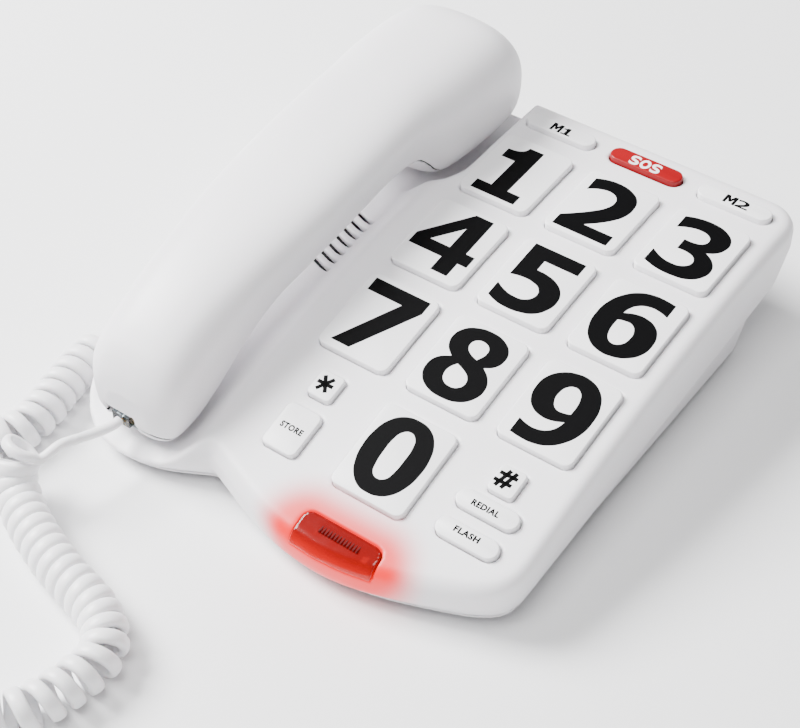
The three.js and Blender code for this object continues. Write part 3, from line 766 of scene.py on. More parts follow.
# Outlines of the digits about a key's middle. A third value of 1 marks a point on a curve, and the
# others are corners.
DIGITS = {
    "1": [
        [
            (-2.96, 13.76), (3.13, 13.76), (3.13, -10.7), (8.76, -10.7), (8.76, -15.6),
            (-10.05, -15.6), (-10.05, -10.7), (-3.96, -10.7), (-3.96, 4.7), (-9.9, 4.7),
            (-9.9, 9.55), (-6.4, 10.0, 1), (-3.9, 11.5, 1),
        ]
    ],
    "2": [
        [
            (-10.8, 13.2), (-7, 14.6, 1), (-1.5, 15.2, 1), (4, 13.9, 1), (7.9, 10.9, 1),
            (9.35, 6.2, 1), (8.7, 1.2, 1), (6.3, -2.9, 1), (3.0, -6.5, 1), (-1.5, -10.3),
            (10.85, -10.3), (10.85, -15.5), (-11.5, -15.5), (-11.5, -10.2), (-7, -6.6, 1),
            (-2.6, -2.6, 1), (0.6, 1.2, 1), (1.9, 4.9, 1), (1.1, 7.8, 1), (-1.9, 9.5, 1),
            (-6, 9.0, 1), (-8.8, 7.7, 1), (-10.7, 6.4),
        ]
    ],
    "3": [
        [
            (-10.5, 13.5), (-6.4, 14.8, 1), (0, 15.4, 1), (6.3, 13.7, 1), (9.9, 9.8, 1),
            (9.7, 4.9, 1), (7.8, 2.2, 1), (5.2, 0.6), (8.8, -1.8, 1), (11.0, -6.1, 1),
            (9.9, -10.8, 1), (6.2, -14.2, 1), (0, -15.5, 1), (-6.4, -15.1, 1), (-11.6, -13.5),
            (-11.5, -7.2), (-7.3, -9.4, 1), (-3.2, -10.2, 1), (0.9, -9.6, 1), (3.4, -6.9, 1),
            (2.6, -3.9, 1), (-0.4, -2.5, 1), (-4.8, -2.4), (-4.8, 2.8), (-1, 2.9, 1), (1.9, 4.0, 1),
            (3, 6.3, 1), (1.7, 8.7, 1), (-2.3, 9.7, 1), (-6.4, 8.9, 1), (-10.5, 7.0),
        ]
    ],
    "4": [
        [
            (1.0, 15.6), (8.5, 15.6), (8.5, -2.1), (12.3, -2.1), (12.3, -7.5), (8.5, -7.5),
            (8.5, -14.4), (1.6, -14.4), (1.6, -7.5), (-12.9, -7.5), (-12.9, -2.1),
        ],
        [(1.6, 8.2), (1.6, -2.3), (-6.9, -2.3)],
    ],
    "5": [
        [
            (-10.3, 15.4), (10.6, 15.4), (10.6, 9.6), (-3.0, 9.6), (-3.0, 4.85), (1.2, 4.6, 1),
            (6.1, 3.1, 1), (9.8, -0.1, 1), (11.2, -4.5, 1), (10.1, -9.3, 1), (7.2, -12.9, 1),
            (2.0, -15.0, 1), (-3.6, -15.4, 1), (-8.0, -14.7, 1), (-11.5, -13.3), (-11.6, -6.9),
            (-8.0, -8.7, 1), (-3.5, -9.7, 1), (1.0, -8.9, 1), (3.3, -5.6, 1), (2.2, -2.4, 1),
            (-1.3, -0.8, 1), (-5.9, -0.6, 1), (-10.3, -1.5),
        ]
    ],
    "6": [
        [
            (9.5, 15.5), (9.5, 9.4), (6.5, 10.3, 1), (2.4, 10.5, 1), (-1.6, 8.8, 1), (-3.6, 5.9, 1),
            (-4.2, 3.7), (-0.4, 5.2, 1), (3.6, 5.5, 1), (8.1, 3.9, 1), (10.8, 0.7, 1),
            (11.8, -3.9, 1), (10.9, -8.9, 1), (7.4, -13.0, 1), (2.3, -15.1, 1), (-3.0, -15.0, 1),
            (-8.0, -12.4, 1), (-11.2, -7.4, 1), (-12.2, -1.0, 1), (-11.3, 5.4, 1), (-8.4, 10.7, 1),
            (-4.2, 14.3, 1), (0.7, 15.9, 1), (5.2, 16.0, 1),
        ],
        [
            (-4.3, 0.1), (-2.0, 0.7, 1), (1.1, 0.6, 1), (3.3, -1.9, 1), (3.7, -5.6, 1),
            (2.5, -8.7, 1), (-0.1, -10.0, 1), (-2.6, -8.9, 1), (-4.0, -6.0, 1), (-4.4, -2.9, 1),
        ],
    ],
    "7": [
        [
            (-12.15, 15.4), (11.2, 15.4), (11.2, 9.9), (-2.6, -14.4), (-10.4, -14.4), (2.85, 9.6),
            (-12.15, 9.6),
        ]
    ],
    "8": [
        [
            (0, 15.8, 1), (5.4, 14.7, 1), (9.4, 11.3, 1), (10.1, 7.1, 1), (8.7, 3.9, 1), (5.6, 1.7),
            (9.1, -1.1, 1), (11.1, -5.6, 1), (9.9, -10.7, 1), (5.9, -14.3, 1), (-0.2, -15.5, 1),
            (-6.4, -14.5, 1), (-10.9, -11.0, 1), (-12.2, -6.4, 1), (-10.9, -2.3, 1), (-6.9, 0.6),
            (-10.1, 3.6, 1), (-11.3, 8.0, 1), (-9.6, 12.2, 1), (-5.5, 14.9, 1),
        ],
        [
            (-0.4, 10.9, 1), (2.4, 9.7, 1), (3.2, 7.1, 1), (1.7, 3.3), (-1.5, 4.4, 1),
            (-3.6, 6.2, 1), (-4.0, 8.5, 1), (-2.8, 10.3, 1),
        ],
        [
            (-3.1, -1.1), (0.1, -2.3, 1), (2.8, -4.1, 1), (3.9, -7.0, 1), (2.5, -9.5, 1),
            (-0.5, -10.3, 1), (-3.6, -9.1, 1), (-5.0, -6.1, 1), (-4.5, -3.2, 1),
        ],
    ],
    "0": [
        [
            (-0.6, 16.0, 1), (4.9, 14.7, 1), (8.8, 10.8, 1), (10.8, 5.2, 1), (11.1, -0.8, 1),
            (9.9, -7.0, 1), (7.0, -11.9, 1), (3.0, -14.4, 1), (-0.6, -14.9, 1), (-4.2, -14.4, 1),
            (-8.2, -11.6, 1), (-11.1, -6.6, 1), (-12.3, -0.6, 1), (-12.0, 5.4, 1), (-10.0, 11.1, 1),
            (-6.1, 14.8, 1),
        ],
        [
            (-0.6, 10.9, 1), (2.0, 9.5, 1), (3.3, 5.8, 1), (3.5, 0.8, 1), (3.2, -4.1, 1),
            (2.0, -7.7, 1), (-0.6, -8.9, 1), (-3.1, -7.7, 1), (-4.3, -4.1, 1), (-4.7, 0.8, 1),
            (-4.5, 5.8, 1), (-3.2, 9.5, 1),
        ],
    ],
}
# A nine is a six turned upside down.
DIGITS["9"] = [[(-p[0] - 0.5, -p[1] + 0.7, *p[2:]) for p in loop] for loop in DIGITS["6"]]


def bar(x0, y0, x1, y1, half):
    """A straight stroke with square ends, as four corners."""
    along = Vector((x1 - x0, y1 - y0)).normalized()
    dx, dy = Vector((-along.y, along.x)) * half
    return [(x0 + dx, y0 + dy), (x1 + dx, y1 + dy), (x1 - dx, y1 - dy), (x0 - dx, y0 - dy)]


def star_strokes():
    made = []
    for degrees in (0, 57, 123):
        a = math.radians(degrees)
        reach = 3.2 if degrees == 0 else 3.55
        c, s = reach * math.cos(a), reach * math.sin(a)
        made.append(bar(-0.5 - c, 0.3 - s, -0.5 + c, 0.3 + s, 0.72))
    return made


def hash_strokes():
    made = []
    for offset in (-1.15, 1.15):
        made.append(bar(-1.0 + offset - 0.75, -3.2, -0.6 + offset + 0.95, 3.9, 0.72))
        shift, height = 0.25 * offset, 0.4 + 1.3 * offset
        made.append(bar(-4.2 + shift, height, 2.5 + shift, height, 0.68))
    return made


def printed(name, loops, material, place, thick=0.03):
    """A thin film of ink with the given outlines, on a key's face."""
    curve = bpy.data.curves.new(name, "CURVE")
    curve.dimensions = "2D"
    curve.fill_mode = "BOTH"
    curve.extrude = thick * MM
    curve.resolution_u = 6
    for loop in loops:
        spline = curve.splines.new("BEZIER")
        spline.use_cyclic_u = True
        spline.bezier_points.add(len(loop) - 1)
        for point, corner in zip(spline.bezier_points, loop):
            point.co = (corner[0] * MM, corner[1] * MM, 0)
            kind = "AUTO" if len(corner) > 2 else "VECTOR"
            point.handle_left_type = kind
            point.handle_right_type = kind
    made = bpy.data.objects.new(name, curve)
    bpy.context.scene.collection.objects.link(made)
    made.matrix_world = place
    curve.materials.append(material)
    return made


def lettered(name, words, height, width, bold, material, place):
    """A generic word in plain capitals of that height, squeezed or spread to that width."""
    text = bpy.data.curves.new(name, "FONT")
    text.body = words
    text.align_x = "CENTER"
    text.align_y = "CENTER"
    text.size = height / 0.72 * MM
    text.offset = bold * MM
    text.space_character = 1.0 + bold
    text.extrude = 0.03 * MM
    text.resolution_u = 3
    made = bpy.data.objects.new(name, text)
    bpy.context.scene.collection.objects.link(made)
    text.materials.append(material)
    bpy.context.view_layer.update()
    stretch = width * MM / max(made.dimensions.x, 1e-6)
    made.matrix_world = place @ Matrix.Diagonal((stretch, 1, 1, 1))
    return made


def big_letter(letter):
    """Outlines of a bold letter or digit one unit high and wide, about its middle."""
    if letter == "M":
        half = [(0.5, -0.5), (0.5, 0.5), (0.2, 0.5), (0.0, 0.08)]
        left = [(-x, y) for x, y in reversed(half[:-1])]
        leg = [(-0.26, -0.5), (-0.26, 0.12), (-0.09, -0.25)]
        inner = leg + [(-x, y) for x, y in reversed(leg)]
        return [half + left + inner]
    if letter == "O":
        loops = []
        for x, y in ((0.5, 0.5), (0.25, 0.27)):
            turn = [math.radians(30 * i) for i in range(12)]
            loops.append([(x * math.cos(a), y * math.sin(a), 1) for a in turn])
        return loops
    if letter == "S":
        outer = [
            (0.4, 0.44), (0.18, 0.5, 1), (-0.1, 0.5, 1), (-0.38, 0.41, 1), (-0.48, 0.2, 1),
            (-0.38, 0.02, 1), (-0.1, -0.09, 1), (0.12, -0.14, 1), (0.19, -0.21, 1), (0.1, -0.28, 1),
            (-0.1, -0.3, 1), (-0.3, -0.26, 1), (-0.46, -0.18),
        ]
        return [outer + [(-x, -y, *rest) for x, y, *rest in outer]]
    loops = DIGITS[letter]
    return [[(x / 21, y / 31.5, *rest) for x, y, *rest in loop] for loop in loops]


def big_word(word, height, width, across, along):
    """Bold letters side by side, as outlines in a key's plane."""
    gap = 0.1
    each = width / (len(word) + gap * (len(word) - 1))
    loops = []
    for i, letter in enumerate(word):
        x = across - width / 2 + each * (0.5 + i * (1 + gap))
        for loop in big_letter(letter):
            loops.append([(x + each * u, along + height * v, *rest) for u, v, *rest in loop])
    return loops


PROUD = 1.8
TOP_ROUND = 0.55
# From the board up to a post's foot: the mat, its dome, a key's travel, and what is left over.
MAT, DOME, TRAVEL, SPARE = 1.2, 0.8, 1.2, 0.9

# Words on the small keys: text, capital height, width, weight, shift across and along.
WORDS = {
    "key_store": ("STORE", 2.2, 9.1, 0.13, 0, 0),
    "key_redial": ("REDIAL", 2.1, 10.4, 0.13, -0.6, -0.4),
    "key_flash": ("FLASH", 2.1, 9.6, 0.13, -0.55, 0.7),
}
BIG_WORDS = {
    "key_m1": ("M1", 4.6, 9.1, 0.5, -0.2),
    "key_m2": ("M2", 4.6, 9.8, 0.7, 0.1),
    "key_sos": ("SOS", 5.2, 12.8, -0.2, -0.4),
}


def board_z(y):
    return 29.2 + 0.157 * (y - 6)


def key_cap(name, x, s, width, height, corner):
    """A moulded key: post, flange that keeps it under the deck, and cap with a rounded rim."""
    under = -WALL - GAP
    place = deck_matrix(x, s)
    at = place.translation / MM
    board_depth = at.z - board_z(at.y)
    foot = min(under - 1.1, -board_depth + GAP + MAT + DOME + TRAVEL + SPARE)
    post = min(3.9, height / 2 - 0.6)
    rings = [
        rounded_ring(2 * post + 0.1, 2 * post + 0.1, post, foot),
        rounded_ring(2 * post + 0.1, 2 * post + 0.1, post, under - 0.8),
        rounded_ring(width + 1.6, height + 1.6, corner + 0.8, under - 0.8),
        rounded_ring(width + 1.6, height + 1.6, corner + 0.8, under),
        rounded_ring(width, height, corner, under),
    ]
    for step in range(6):
        a = math.radians(18 * step)
        inwards = TOP_ROUND * (1 - math.cos(a))
        rings.append(
            rounded_ring(
                width - 2 * inwards,
                height - 2 * inwards,
                corner - inwards * 0.9,
                PROUD - TOP_ROUND * (1 - math.sin(a)),
            )
        )
    cap = loft(name, rings)
    cap.matrix_world = place
    return smooth(cap, 40)


def make_keys(materials):
    for name, x, s, width, height, corner in KEYS:
        body = name + "_body"
        red = name == "key_sos"
        cap = key_cap("cap", x, s, width, height, corner)
        finish_piece(
            cap,
            name + "_cap",
            body,
            materials["sos" if red else "key"],
            [name],
        )
        face = deck_matrix(x, s) @ Matrix.Translation((0, 0, (PROUD + 0.01) * MM))
        ink = materials["ink_white" if red else "ink_black"]
        digit = name[4:]
        if digit in DIGITS:
            prints = [printed("print", DIGITS[digit], ink, face)]
        elif name in BIG_WORDS:
            prints = [printed("print", big_word(*BIG_WORDS[name]), ink, face)]
        elif digit == "star":
            prints = [printed("print", [stroke], ink, face) for stroke in star_strokes()]
        elif digit == "hash":
            prints = [printed("print", [stroke], ink, face) for stroke in hash_strokes()]
        else:
            words, capital, wide, bold, across, along = WORDS[name]
            there = face @ Matrix.Translation((across * MM, along * MM, 0))
            prints = [lettered("print", words, capital, wide, bold, ink, there)]
        for count, made in enumerate(prints):
            finish_piece(
                made,
                f"{name}_print_{count + 1}",
                body,
                ink,
            )


# ------------------------------------------------------------------ indicator


def make_indicator(materials, grain):
    """Red window over the front edge, a ribbed reflector with two wells in it, and two lamps."""
    lens = carve(walls(-0.5, lift=0.5), [under_arch(-0.5)], "INTERSECT")
    carve(lens, [lens_space(0)], "INTERSECT")
    inner = carve(walls(1.3, lift=-1.3), [under_arch(1.3)], "INTERSECT")
    carve(lens, [inner])
    moulded(lens, min(grain, 0.42), 2)
    red = materials["reflector"]
    finish_piece(
        lens, "indicator_window", "base", materials["lens"], ["indicator_lens"]
    )

    panel = carve(walls(2.1, lift=-2.1), [under_arch(2.1)], "INTERSECT")
    space = block((LENS_X - 14.8, -120, LENS_Z + 0.5), (LENS_X + 14.8, LENS_Y - 1.2, 60))
    carve(panel, [space], "INTERSECT")
    carve(panel, [carve(walls(3.6, lift=-3.6), [under_arch(3.6)], "INTERSECT")])
    wells = []
    for side in (-1, 1):
        well = disc(0, 0, -9, 12, 2.6)
        well.data.transform(Matrix.Translation(Vector((LENS_X + 11.3 * side, -97.6, 18)) * MM))
        wells.append(well)
    carve(panel, [merged(wells)])
    ribs = [
        block((x, -98.0, 18.5), (x + 0.5, -94.2, 20.6))
        for x in (LENS_X - 7.4 + 1.25 * i for i in range(13))
    ]
    smooth(panel, 30)
    finish_piece(panel, "indicator_reflector", "base", red)
    finish_piece(smooth(merged(ribs), 30), "indicator_ribs", "base", red)
    for side in ("left", "right"):
        use(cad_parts["indicator_led_" + side], materials["lamp"])


# ------------------------------------------------------------------ handset

# Stations from the mouth end to the ear end: y, half width, underside, crown.
STATIONS = [
    (-97.5, 9, 20, 32), (-96, 15, 15.4, 38.5), (-92.5, 19.2, 12.9, 46.5), (-88, 20.6, 13.8, 50.8),
    (-80, 21.2, 16.4, 56), (-70, 21.6, 22.8, 60.6), (-58, 22, 32.5, 64.6), (-44, 22.6, 41, 68.4),
    (-28, 24, 46.4, 72.2), (-12, 24.8, 50, 75.3), (6, 25, 53.5, 78.6), (24, 25, 56, 81.5),
    (35, 25.4, 55, 83), (43, 26.6, 48.5, 84), (48, 27.8, 42.5, 84.5), (54, 28.8, 40.8, 84.9),
    (72, 29.7, 40.5, 85.4), (86, 29.2, 40.6, 85), (95, 27, 42.4, 82.4), (100, 23, 47, 77.2),
    (102.8, 15, 54, 69),
]
SEAM_RISE = 4.8
SOCKET_X, SOCKET_Z = -62.5, 18.4


def handset_x(y):
    return EAR_X + 0.025 * (y - 80)


def monotone(at, knots, values):
    """Smooth interpolation that keeps to its knots and doesn't overshoot between them."""
    knots, values = np.array(knots, float), np.array(values, float)
    step = np.diff(knots)
    slope = np.diff(values) / step
    tangent = np.concatenate([[slope[0]], (slope[:-1] + slope[1:]) / 2, [slope[-1]]])
    turned = slope[:-1] * slope[1:] <= 0
    tangent[1:-1][turned] = 0
    steep = abs(slope)
    limit = 3 * np.minimum(np.append(steep[0], steep), np.append(steep, steep[-1]))
    tangent = np.clip(tangent, -limit, limit)
    i = np.clip(np.searchsorted(knots, at) - 1, 0, len(step) - 1)
    t = (at - knots[i]) / step[i]
    return (
        (2 * t**3 - 3 * t**2 + 1) * values[i]
        + (t**3 - 2 * t**2 + t) * step[i] * tangent[i]
        + (3 * t**2 - 2 * t**3) * values[i + 1]
        + (t**3 - t**2) * step[i] * tangent[i + 1]
    )


def handset_body(shrink, count=56):
    y0, y1 = STATIONS[0][0], STATIONS[-1][0]
    if shrink:
        y0, y1 = y0 + shrink + 1, y1 - shrink - 1
    middle = (y0 + y1) / 2
    at = middle + (y1 - y0) / 2 * np.sin(np.linspace(-math.pi / 2, math.pi / 2, 90))
    knots = [row[0] for row in STATIONS]
    half, low, high = (monotone(at, knots, [row[k] for row in STATIONS]) for k in (1, 2, 3))
    rings = []
    for y, wide, bottom, top in zip(at, half, low, high):
        points = []
        for i in range(count):
            a = 2 * math.pi * (i + 0.5) / count
            c, s = math.cos(a), math.sin(a)
            power = 0.78 if s > 0 else 0.66
            reach = (top - bottom) / 2 - shrink
            x = handset_x(y) + math.copysign(abs(c) ** power, c) * (wide - shrink)
            points.append((x, y, (top + bottom) / 2 + math.copysign(abs(s) ** power, s) * reach))
        rings.append(points)
    return loft("handset", rings)


def above_seam(lift):
    line = [(y, low + SEAM_RISE + lift) for y, _, low, _ in STATIONS[2:-2]]
    knots = [y for y, _ in line]
    at = np.linspace(knots[0], knots[-1], 60)
    fine = list(zip(at, monotone(at, knots, [z for _, z in line])))
    profile = [(-110, line[0][1])] + fine + [(112, line[-1][1]), (112, 120), (-110, 120)]
    return prism_x(profile, -120, 0)


def make_handset(materials, grain):
    """Outer and inner half shells, a black strip in the seam between them as its painted shadow,
    sound holes and the cord's socket.
    """
    notch = ((SOCKET_X - 7.0, -110, SOCKET_Z - 4.2), (SOCKET_X + 7.0, -80, SOCKET_Z + 4.4))

    def everywhere(at):
        return np.where(at[:, 1] > -93, 1.0, np.where(abs(at[:, 0] - SOCKET_X) < 9, 0.0, 1.0))

    outer = carve(handset_body(0), [above_seam(0.5)], "INTERSECT")
    carve(outer, [handset_body(WALL), block(*notch)])
    moulded(outer, grain, 2, (lambda at: seam_safe(at) * everywhere(at), 30))
    finish_piece(
        outer, "handset_back", "handset", materials["handset"], ["handset_outer_shell"]
    )
    inner = carve(handset_body(0), [above_seam(0), handset_body(WALL), block(*notch)])
    # A black strip set just inside the parting line: painted shadow of the gap between the shells.
    seam_shadow_strip = carve(handset_body(0.45), [above_seam(0.03)], "INTERSECT")
    carve(seam_shadow_strip, [above_seam(0.47), handset_body(1.6), block(*notch)])
    finish_piece(smooth(seam_shadow_strip, 30), "handset_seam_shadow", "handset", materials["black"])
    ear_x, mouth_x = handset_x(72), handset_x(-72) + 4
    holes = [disc(ear_x, 72, 30, 50, 1.1, 12)]
    for count, reach in ((6, 5.0), (12, 9.5)):
        for i in range(count):
            a = 2 * math.pi * i / count
            x, y = ear_x + reach * math.cos(a), 72 + reach * math.sin(a)
            holes.append(disc(x, y, 30, 50, 1.1, 12))
    for i in (-1, 0, 1):
        holes.append(disc(mouth_x + 4 * i, -74, 5, 30, 0.9, 12))
    holes.append(disc(handset_x(20), 20, 50, 70, 1.8, 16))
    carve(inner, [merged(holes)])
    moulded(inner, min(grain, 0.55), 2)
    finish_piece(
        inner,
        "handset_front",
        "handset",
        materials["handset"],
        ["handset_inner_shell"],
    )


def seam_safe(at):
    """0 next to the parting line, so that its edges stay crisp, and 1 away from it."""
    knots = [row[0] for row in STATIONS]
    seam = np.interp(at[:, 1], knots, [row[2] + SEAM_RISE for row in STATIONS])
    return np.clip((at[:, 2] - seam - 0.8) / 2.5, 0, 1)


# ------------------------------------------------------------------ cord

LEAD_HANDSET = [
    (-62.5, -97.7, 18.3), (-62.6, -101, 18.6), (-63.4, -106, 19.7), (-65.2, -113, 21.4),
    (-67.6, -120.5, 22.8),
]
COIL_LINE = [
    (-76.8, -127.4, 22.5), (-78.4, -131.6, 17.2), (-76.8, -135.3, 11.8), (-71.8, -138.6, 8.6),
    (-64.5, -142.8, 8.1), (-55, -146.9, 8.1), (-42.4, -151.4, 8.1), (-31.6, -154.3, 8.1),
    (-20.8, -157, 8.1), (-12.8, -161, 8.1), (-7.6, -166.2, 8.1), (-5.4, -172.5, 8.1),
    (-5.8, -179.1, 8.1), (-7, -185.9, 8.1), (-8.4, -192, 8.1), (-10.6, -197.8, 8.1),
    (-15, -203.4, 8.1), (-24, -210, 8.1), (-38, -215.5, 8.1), (-56, -218.5, 8.1),
    (-76, -218, 8.1), (-95, -213, 8.1), (-112, -203, 8.1), (-124.5, -189, 8.1),
    (-130.5, -173, 8.1), (-130, -157, 8.1), (-122.5, -143.5, 8.1), (-111, -134, 8.1),
    (-101, -125.5, 8.1), (-95.5, -115, 8.1), (-96, -103, 8.1), (-98.6, -91, 8.1),
    (-100.6, -79, 8.1), (-101.2, -67, 8.1), (-101.2, -62, 8.1),
]
LEAD_BASE = [
    (-101.2, -61.6, 8.2), (-101.3, -57, 8.6), (-101.6, -52, 9.8), (-101.8, -47, 11.8),
    (-101.2, -43, 13.8), (-99.2, -40.7, 15.1), (-96.4, -40, 15.5), (-94.3, -40, 15.5),
]
# Distance between turns at places along the coil: slack near the handset, tight, then pulled open.
PITCH_AT = [0, 14, 26, 85, 100, 140, 170, 330, 345, 600]
PITCH = [7.4, 6.4, 5.5, 5.5, 6.6, 7.6, 6.0, 5.6, 6.4, 6.4]
# The wire is oval, and its broad side lies along the coil. Half its breadth and half its thickness.
BROAD, THIN = 2.65, 1.7


def spline_line(points, spacing):
    """A smooth line through points, at equal steps."""
    p = np.array(points, float)
    ends = [2 * p[0] - p[1]], [2 * p[-1] - p[-2]]
    p = np.vstack([ends[0], p, ends[1]])
    fine = []
    for i in range(1, len(p) - 2):
        for t in np.linspace(0, 1, 16, endpoint=False):
            a, b, c, d = p[i - 1 : i + 3]
            square, cube = 2 * a - 5 * b + 4 * c - d, 3 * b - a - 3 * c + d
            fine.append(0.5 * (2 * b + (c - a) * t + square * t**2 + cube * t**3))
    fine.append(p[-2])
    return evenly(fine, spacing)


def coil(points, radius, start_side):
    """A wire's line wound round the given one, and the way its broad side lies at each point."""
    step = 0.24
    line = spline_line(points, step)
    tangent = np.gradient(line, axis=0)
    tangent /= np.linalg.norm(tangent, axis=1)[:, None]
    normal = np.array(start_side, float)
    phase = 0.0
    wire, broad = [], []
    last = len(line) - 1
    for i, (at, along) in enumerate(zip(line, tangent)):
        normal = normal - along * (normal @ along)
        normal /= np.linalg.norm(normal)
        side = np.cross(along, normal)
        left = min(1.0, (last - i) * step / 9.0)
        reach = radius * left * left * (3 - 2 * left)
        wire.append(at + reach * (math.cos(phase) * normal + math.sin(phase) * side))
        broad.append(along)
        phase += 2 * math.pi * step / np.interp(i * step, PITCH_AT, PITCH)
    return np.array(wire), np.array(broad)


def oval_tube(name, line, broad, breadth, material, sides=12):
    """A closed tube of oval section along a line, its broad side along the given directions."""
    line = np.array(line, float)
    tangent = np.gradient(line, axis=0)
    tangent /= np.linalg.norm(tangent, axis=1)[:, None]
    rings = []
    for at, along, wide, half in zip(line, tangent, broad, breadth):
        wide = wide - along * (wide @ along)
        wide /= np.linalg.norm(wide)
        thin = np.cross(along, wide)
        ring_points = []
        for i in range(sides):
            c, q = math.cos(2 * math.pi * i / sides), math.sin(2 * math.pi * i / sides)
            c, q = math.copysign(abs(c) ** 0.8, c), math.copysign(abs(q) ** 0.8, q)
            ring_points.append(at + half * c * wide + THIN * q * thin)
        rings.append(ring_points)
    made = smooth(loft(name, rings), 50)
    made.data.materials.append(material)
    return made


def make_cord(materials):
    """The curly cord with its lead to the base, and the short lead from the handset to the coil."""
    wound, wound_broad = coil(COIL_LINE, COIL / 2 - THIN, (0.915, -0.409, 0.045))
    lead = spline_line([wound[-1], *LEAD_BASE[2:]], 0.9)[1:]
    line = np.vstack([wound, lead])
    broad = np.vstack([wound_broad, np.tile(wound_broad[-1], (len(lead), 1))])
    # The wire is oval in the coil, and its two ends run out into the round leads.
    start_run = np.minimum(1.0, np.arange(len(line)) / 20)
    end_run = np.minimum(1.0, np.arange(len(line))[::-1] / (len(lead) + 12))
    breadth = THIN + (BROAD - THIN) * start_run * np.clip(3 * end_run - 1.9, 0, 1)
    curly = oval_tube("curly_cord", line, broad, breadth, materials["cord"])
    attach(curly, "base")
    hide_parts("cord_coil", "cord_lead_base")
    back = wound[0] - wound[2]
    back /= np.linalg.norm(back)
    route = spline_line([*LEAD_HANDSET, wound[0] + 3 * back, wound[0] - 0.3 * back], 0.9)
    wide = np.linspace((0.2, 0, 1), wound_broad[0], len(route))
    short = oval_tube("handset_lead", route, wide, [THIN] * len(route), materials["cord"])
    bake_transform(short)
    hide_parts("cord_lead_handset")


# ------------------------------------------------------------------ fittings and carried-over nodes


def use(made, material):
    made.data.materials.clear()
    made.data.materials.append(material)


def make_fittings(materials):
    """Finishes for the parts that come over from the frame, and the plugs' contacts."""
    finishes = {
        "rubber": ["foot_1", "foot_2", "foot_3", "foot_4"],
        "steel": [
            "base_screw_1", "base_screw_2", "base_screw_3", "base_screw_4", "handset_screw",
            "ballast_plate", "handset_weight",
        ],
        "silicone": ["keypad_mat"],
        "board": ["main_board", "indicator_board"],
        "black": [
            "ringer_speaker", "hook_switch", "line_jack", "ringer_switch_body", "base_cord_jack",
            "earpiece_speaker", "microphone", "handset_jack",
        ],
        "clear": ["cord_plug_base", "cord_plug_handset"],
        "shell_plain": ["hook_plunger", "ringer_switch"],
    }
    for finish, names in finishes.items():
        for name in names:
            use(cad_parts[name], materials[finish])
    # Gold contacts at the front of each clear plug, as fine wires side by side.
    pitch, thick, reach = 1.25, 0.22, 2.6
    for name, body, x, y, z, along in (
        ("handset_plug_contacts", "handset", SOCKET_X, -91.5, SOCKET_Z - 1.6, (0, 1)),
        ("base_plug_contacts", "base", -86.5, -40, 14.2, (1, 0)),
    ):
        wires = []
        for i in range(4):
            off = (i - 1.5) * pitch
            cx, cy = (x + off, y) if along[1] else (x, y + off)
            hx, hy = (thick, reach) if along[1] else (reach, thick)
            wires.append(block((cx - hx, cy - hy, z - 0.3), (cx + hx, cy + hy, z + 0.5)))
        finish_piece(smooth(merged(wires), 30), name, body, materials["gold"])


# ------------------------------------------------------------------ stage


def make_stage(materials):
    """Plain pale floor, soft light from above and behind, and the camera."""
    scene = bpy.context.scene
    reach = 15000
    corners = [(-reach, -reach, 0), (reach, -reach, 0), (reach, reach, 0), (-reach, reach, 0)]
    floor = mesh_object("floor", corners, [(0, 1, 2, 3)])
    use(floor, materials["table"])
    world = bpy.data.worlds.new("studio")
    scene.world = world
    world.use_nodes = True
    world.node_tree.nodes["Background"].inputs["Color"].default_value = linear("FFFFFF")
    world.node_tree.nodes["Background"].inputs["Strength"].default_value = 0.38
    for name, place, target, size, watts in (
        ("key_light", (-1.15, -0.25, 1.15), (0, 0, 0), 0.8, 100),
        ("top_light", (0.1, -0.5, 1.6), (0, -0.05, 0), 0.8, 22),
    ):
        lamp = bpy.data.lights.new(name, "AREA")
        lamp.size = size
        lamp.energy = watts
        made = bpy.data.objects.new(name, lamp)
        scene.collection.objects.link(made)
        made.location = place
        made.rotation_euler = (Vector(target) - Vector(place)).to_track_quat("-Z", "Y").to_euler()
    camera = bpy.data.cameras.new("camera")
    camera.sensor_width = 36
    camera.lens = 81.406
    camera.clip_start = 0.02
    made = bpy.data.objects.new("camera", camera)
    scene.collection.objects.link(made)
    right = Vector((0.80592, 0.59192, -0.01082))
    up = Vector((-0.40956, 0.57064, 0.71178))
    back = Vector((0.42749, -0.56920, 0.70232))
    turn = Matrix((right, up, back)).transposed().to_4x4()
    made.matrix_world = Matrix.Translation((0.2736, -0.3839, 0.4685)) @ turn
    scene.camera = made


# ------------------------------------------------------------------ add-on


def colour_setting(name, description, default):
    return bpy.props.FloatVectorProperty(
        name=name,
        description=description,
        default=linear(default),
        size=4,
        min=0,
        max=1,
        subtype="COLOR",
    )


class TelephoneSizes(bpy.types.PropertyGroup):
    """Sizes and colours that a user would change."""

    grain: bpy.props.FloatProperty(
        name="Mesh grain",
        description="Edge length of the fine mesh of a moulded shell",
        default=0.62 * MM,
        min=0.3 * MM,
        max=3 * MM,
        subtype="DISTANCE",
        unit="LENGTH",
    )
    shell_colour: colour_setting(
        "Shell colour", "Colour of the base and handset mouldings", "ECEAED"
    )
    key_colour: colour_setting("Key colour", "Colour of the white keys", "F5F4F6")
    sos_colour: colour_setting("Emergency key colour", "Colour of the red key", "8C000C")
    cord_colour: colour_setting("Cord colour", "Colour of the cord's jacket", "EFEEF0")


def grain_of(context):
    grain = context.scene.telephone.grain / MM
    return grain


class TELEPHONE_OT_stage(bpy.types.Operator):
    """Makes the floor, the lights and the camera"""

    bl_idname = "telephone.stage"
    bl_label = "Stage"

    def execute(self, context):
        make_stage(MATERIALS)
        return {"FINISHED"}


class TELEPHONE_OT_cord(bpy.types.Operator):
    """Winds the curly cord and lays its leads"""

    bl_idname = "telephone.cord"
    bl_label = "Cord"

    def execute(self, context):
        make_cord(MATERIALS)
        return {"FINISHED"}


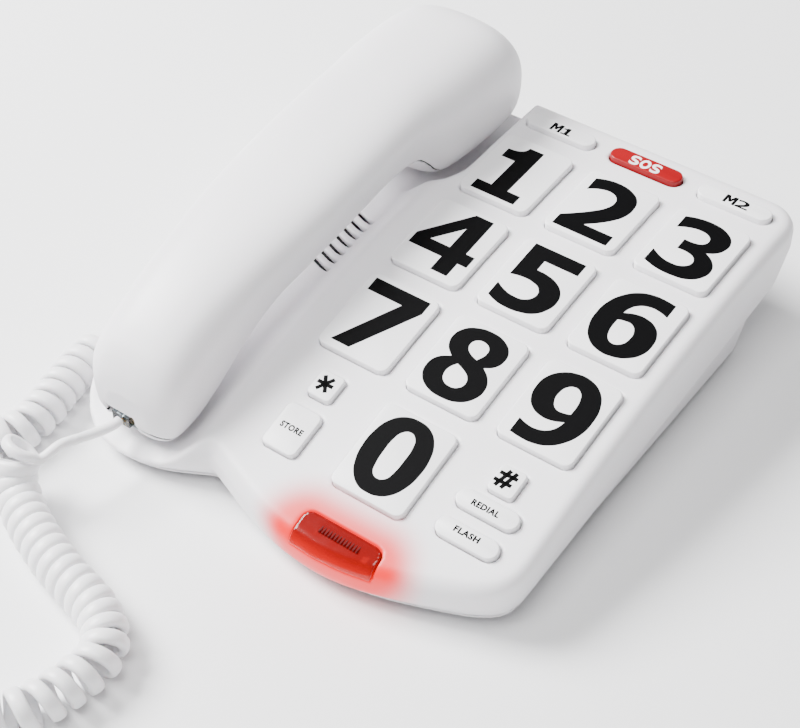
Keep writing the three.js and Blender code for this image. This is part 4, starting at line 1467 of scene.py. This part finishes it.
class TELEPHONE_OT_base(bpy.types.Operator):
    """Moulds the base's upper and lower shells"""

    bl_idname = "telephone.base"
    bl_label = "Base shells"

    def execute(self, context):
        grain = grain_of(context)
        cover = base_cover(grain)
        finish_piece(cover, "base_cover", "base", MATERIALS["shell"], ["base_top_shell"])
        tray = base_tray(max(grain, 0.8))
        plain = MATERIALS["shell_plain"]
        finish_piece(tray, "base_tray", "base", plain, ["base_bottom_shell"])
        return {"FINISHED"}


class TELEPHONE_OT_keys(bpy.types.Operator):
    """Moulds and prints every key"""

    bl_idname = "telephone.keys"
    bl_label = "Keys"

    def execute(self, context):
        make_keys(MATERIALS)
        return {"FINISHED"}


class TELEPHONE_OT_indicator(bpy.types.Operator):
    """Makes the lit red window in the front edge"""

    bl_idname = "telephone.indicator"
    bl_label = "Indicator"

    def execute(self, context):
        make_indicator(MATERIALS, grain_of(context))
        return {"FINISHED"}


class TELEPHONE_OT_handset(bpy.types.Operator):
    """Moulds the handset's two shells"""

    bl_idname = "telephone.handset"
    bl_label = "Handset"

    def execute(self, context):
        make_handset(MATERIALS, grain_of(context))
        return {"FINISHED"}


class TELEPHONE_OT_fittings(bpy.types.Operator):
    """Finishes the feet, jacks, plugs, screws and inner parts"""

    bl_idname = "telephone.fittings"
    bl_label = "Fittings"

    def execute(self, context):
        make_fittings(MATERIALS)
        return {"FINISHED"}


OPERATORS = (
    TELEPHONE_OT_stage,
    TELEPHONE_OT_cord,
    TELEPHONE_OT_base,
    TELEPHONE_OT_keys,
    TELEPHONE_OT_indicator,
    TELEPHONE_OT_handset,
    TELEPHONE_OT_fittings,
)


class TELEPHONE_PT_panel(bpy.types.Panel):
    """Lists the telephone's sizes and the operators that make it"""

    bl_label = "Telephone"
    bl_idname = "TELEPHONE_PT_panel"
    bl_space_type = "VIEW_3D"
    bl_region_type = "UI"
    bl_category = "Telephone"

    def draw(self, context):
        sizes = context.scene.telephone
        for name in ("grain", "shell_colour", "key_colour", "sos_colour", "cord_colour"):
            self.layout.prop(sizes, name)
        for operator in OPERATORS:
            self.layout.operator(operator.bl_idname)


CLASSES = (TelephoneSizes, *OPERATORS, TELEPHONE_PT_panel)


def register():
    for each in CLASSES:
        bpy.utils.register_class(each)
    bpy.types.Scene.telephone = bpy.props.PointerProperty(type=TelephoneSizes)


def unregister():
    del bpy.types.Scene.telephone
    for each in reversed(CLASSES):
        bpy.utils.unregister_class(each)


def main():
    register()
    MATERIALS.update(make_materials(bpy.context.scene.telephone))
    bpy.ops.telephone.stage()
    bpy.ops.telephone.cord()
    bpy.ops.telephone.base()
    bpy.ops.telephone.keys()
    bpy.ops.telephone.indicator()
    bpy.ops.telephone.handset()
    bpy.ops.telephone.fittings()


if __name__ == "__main__":
    main()
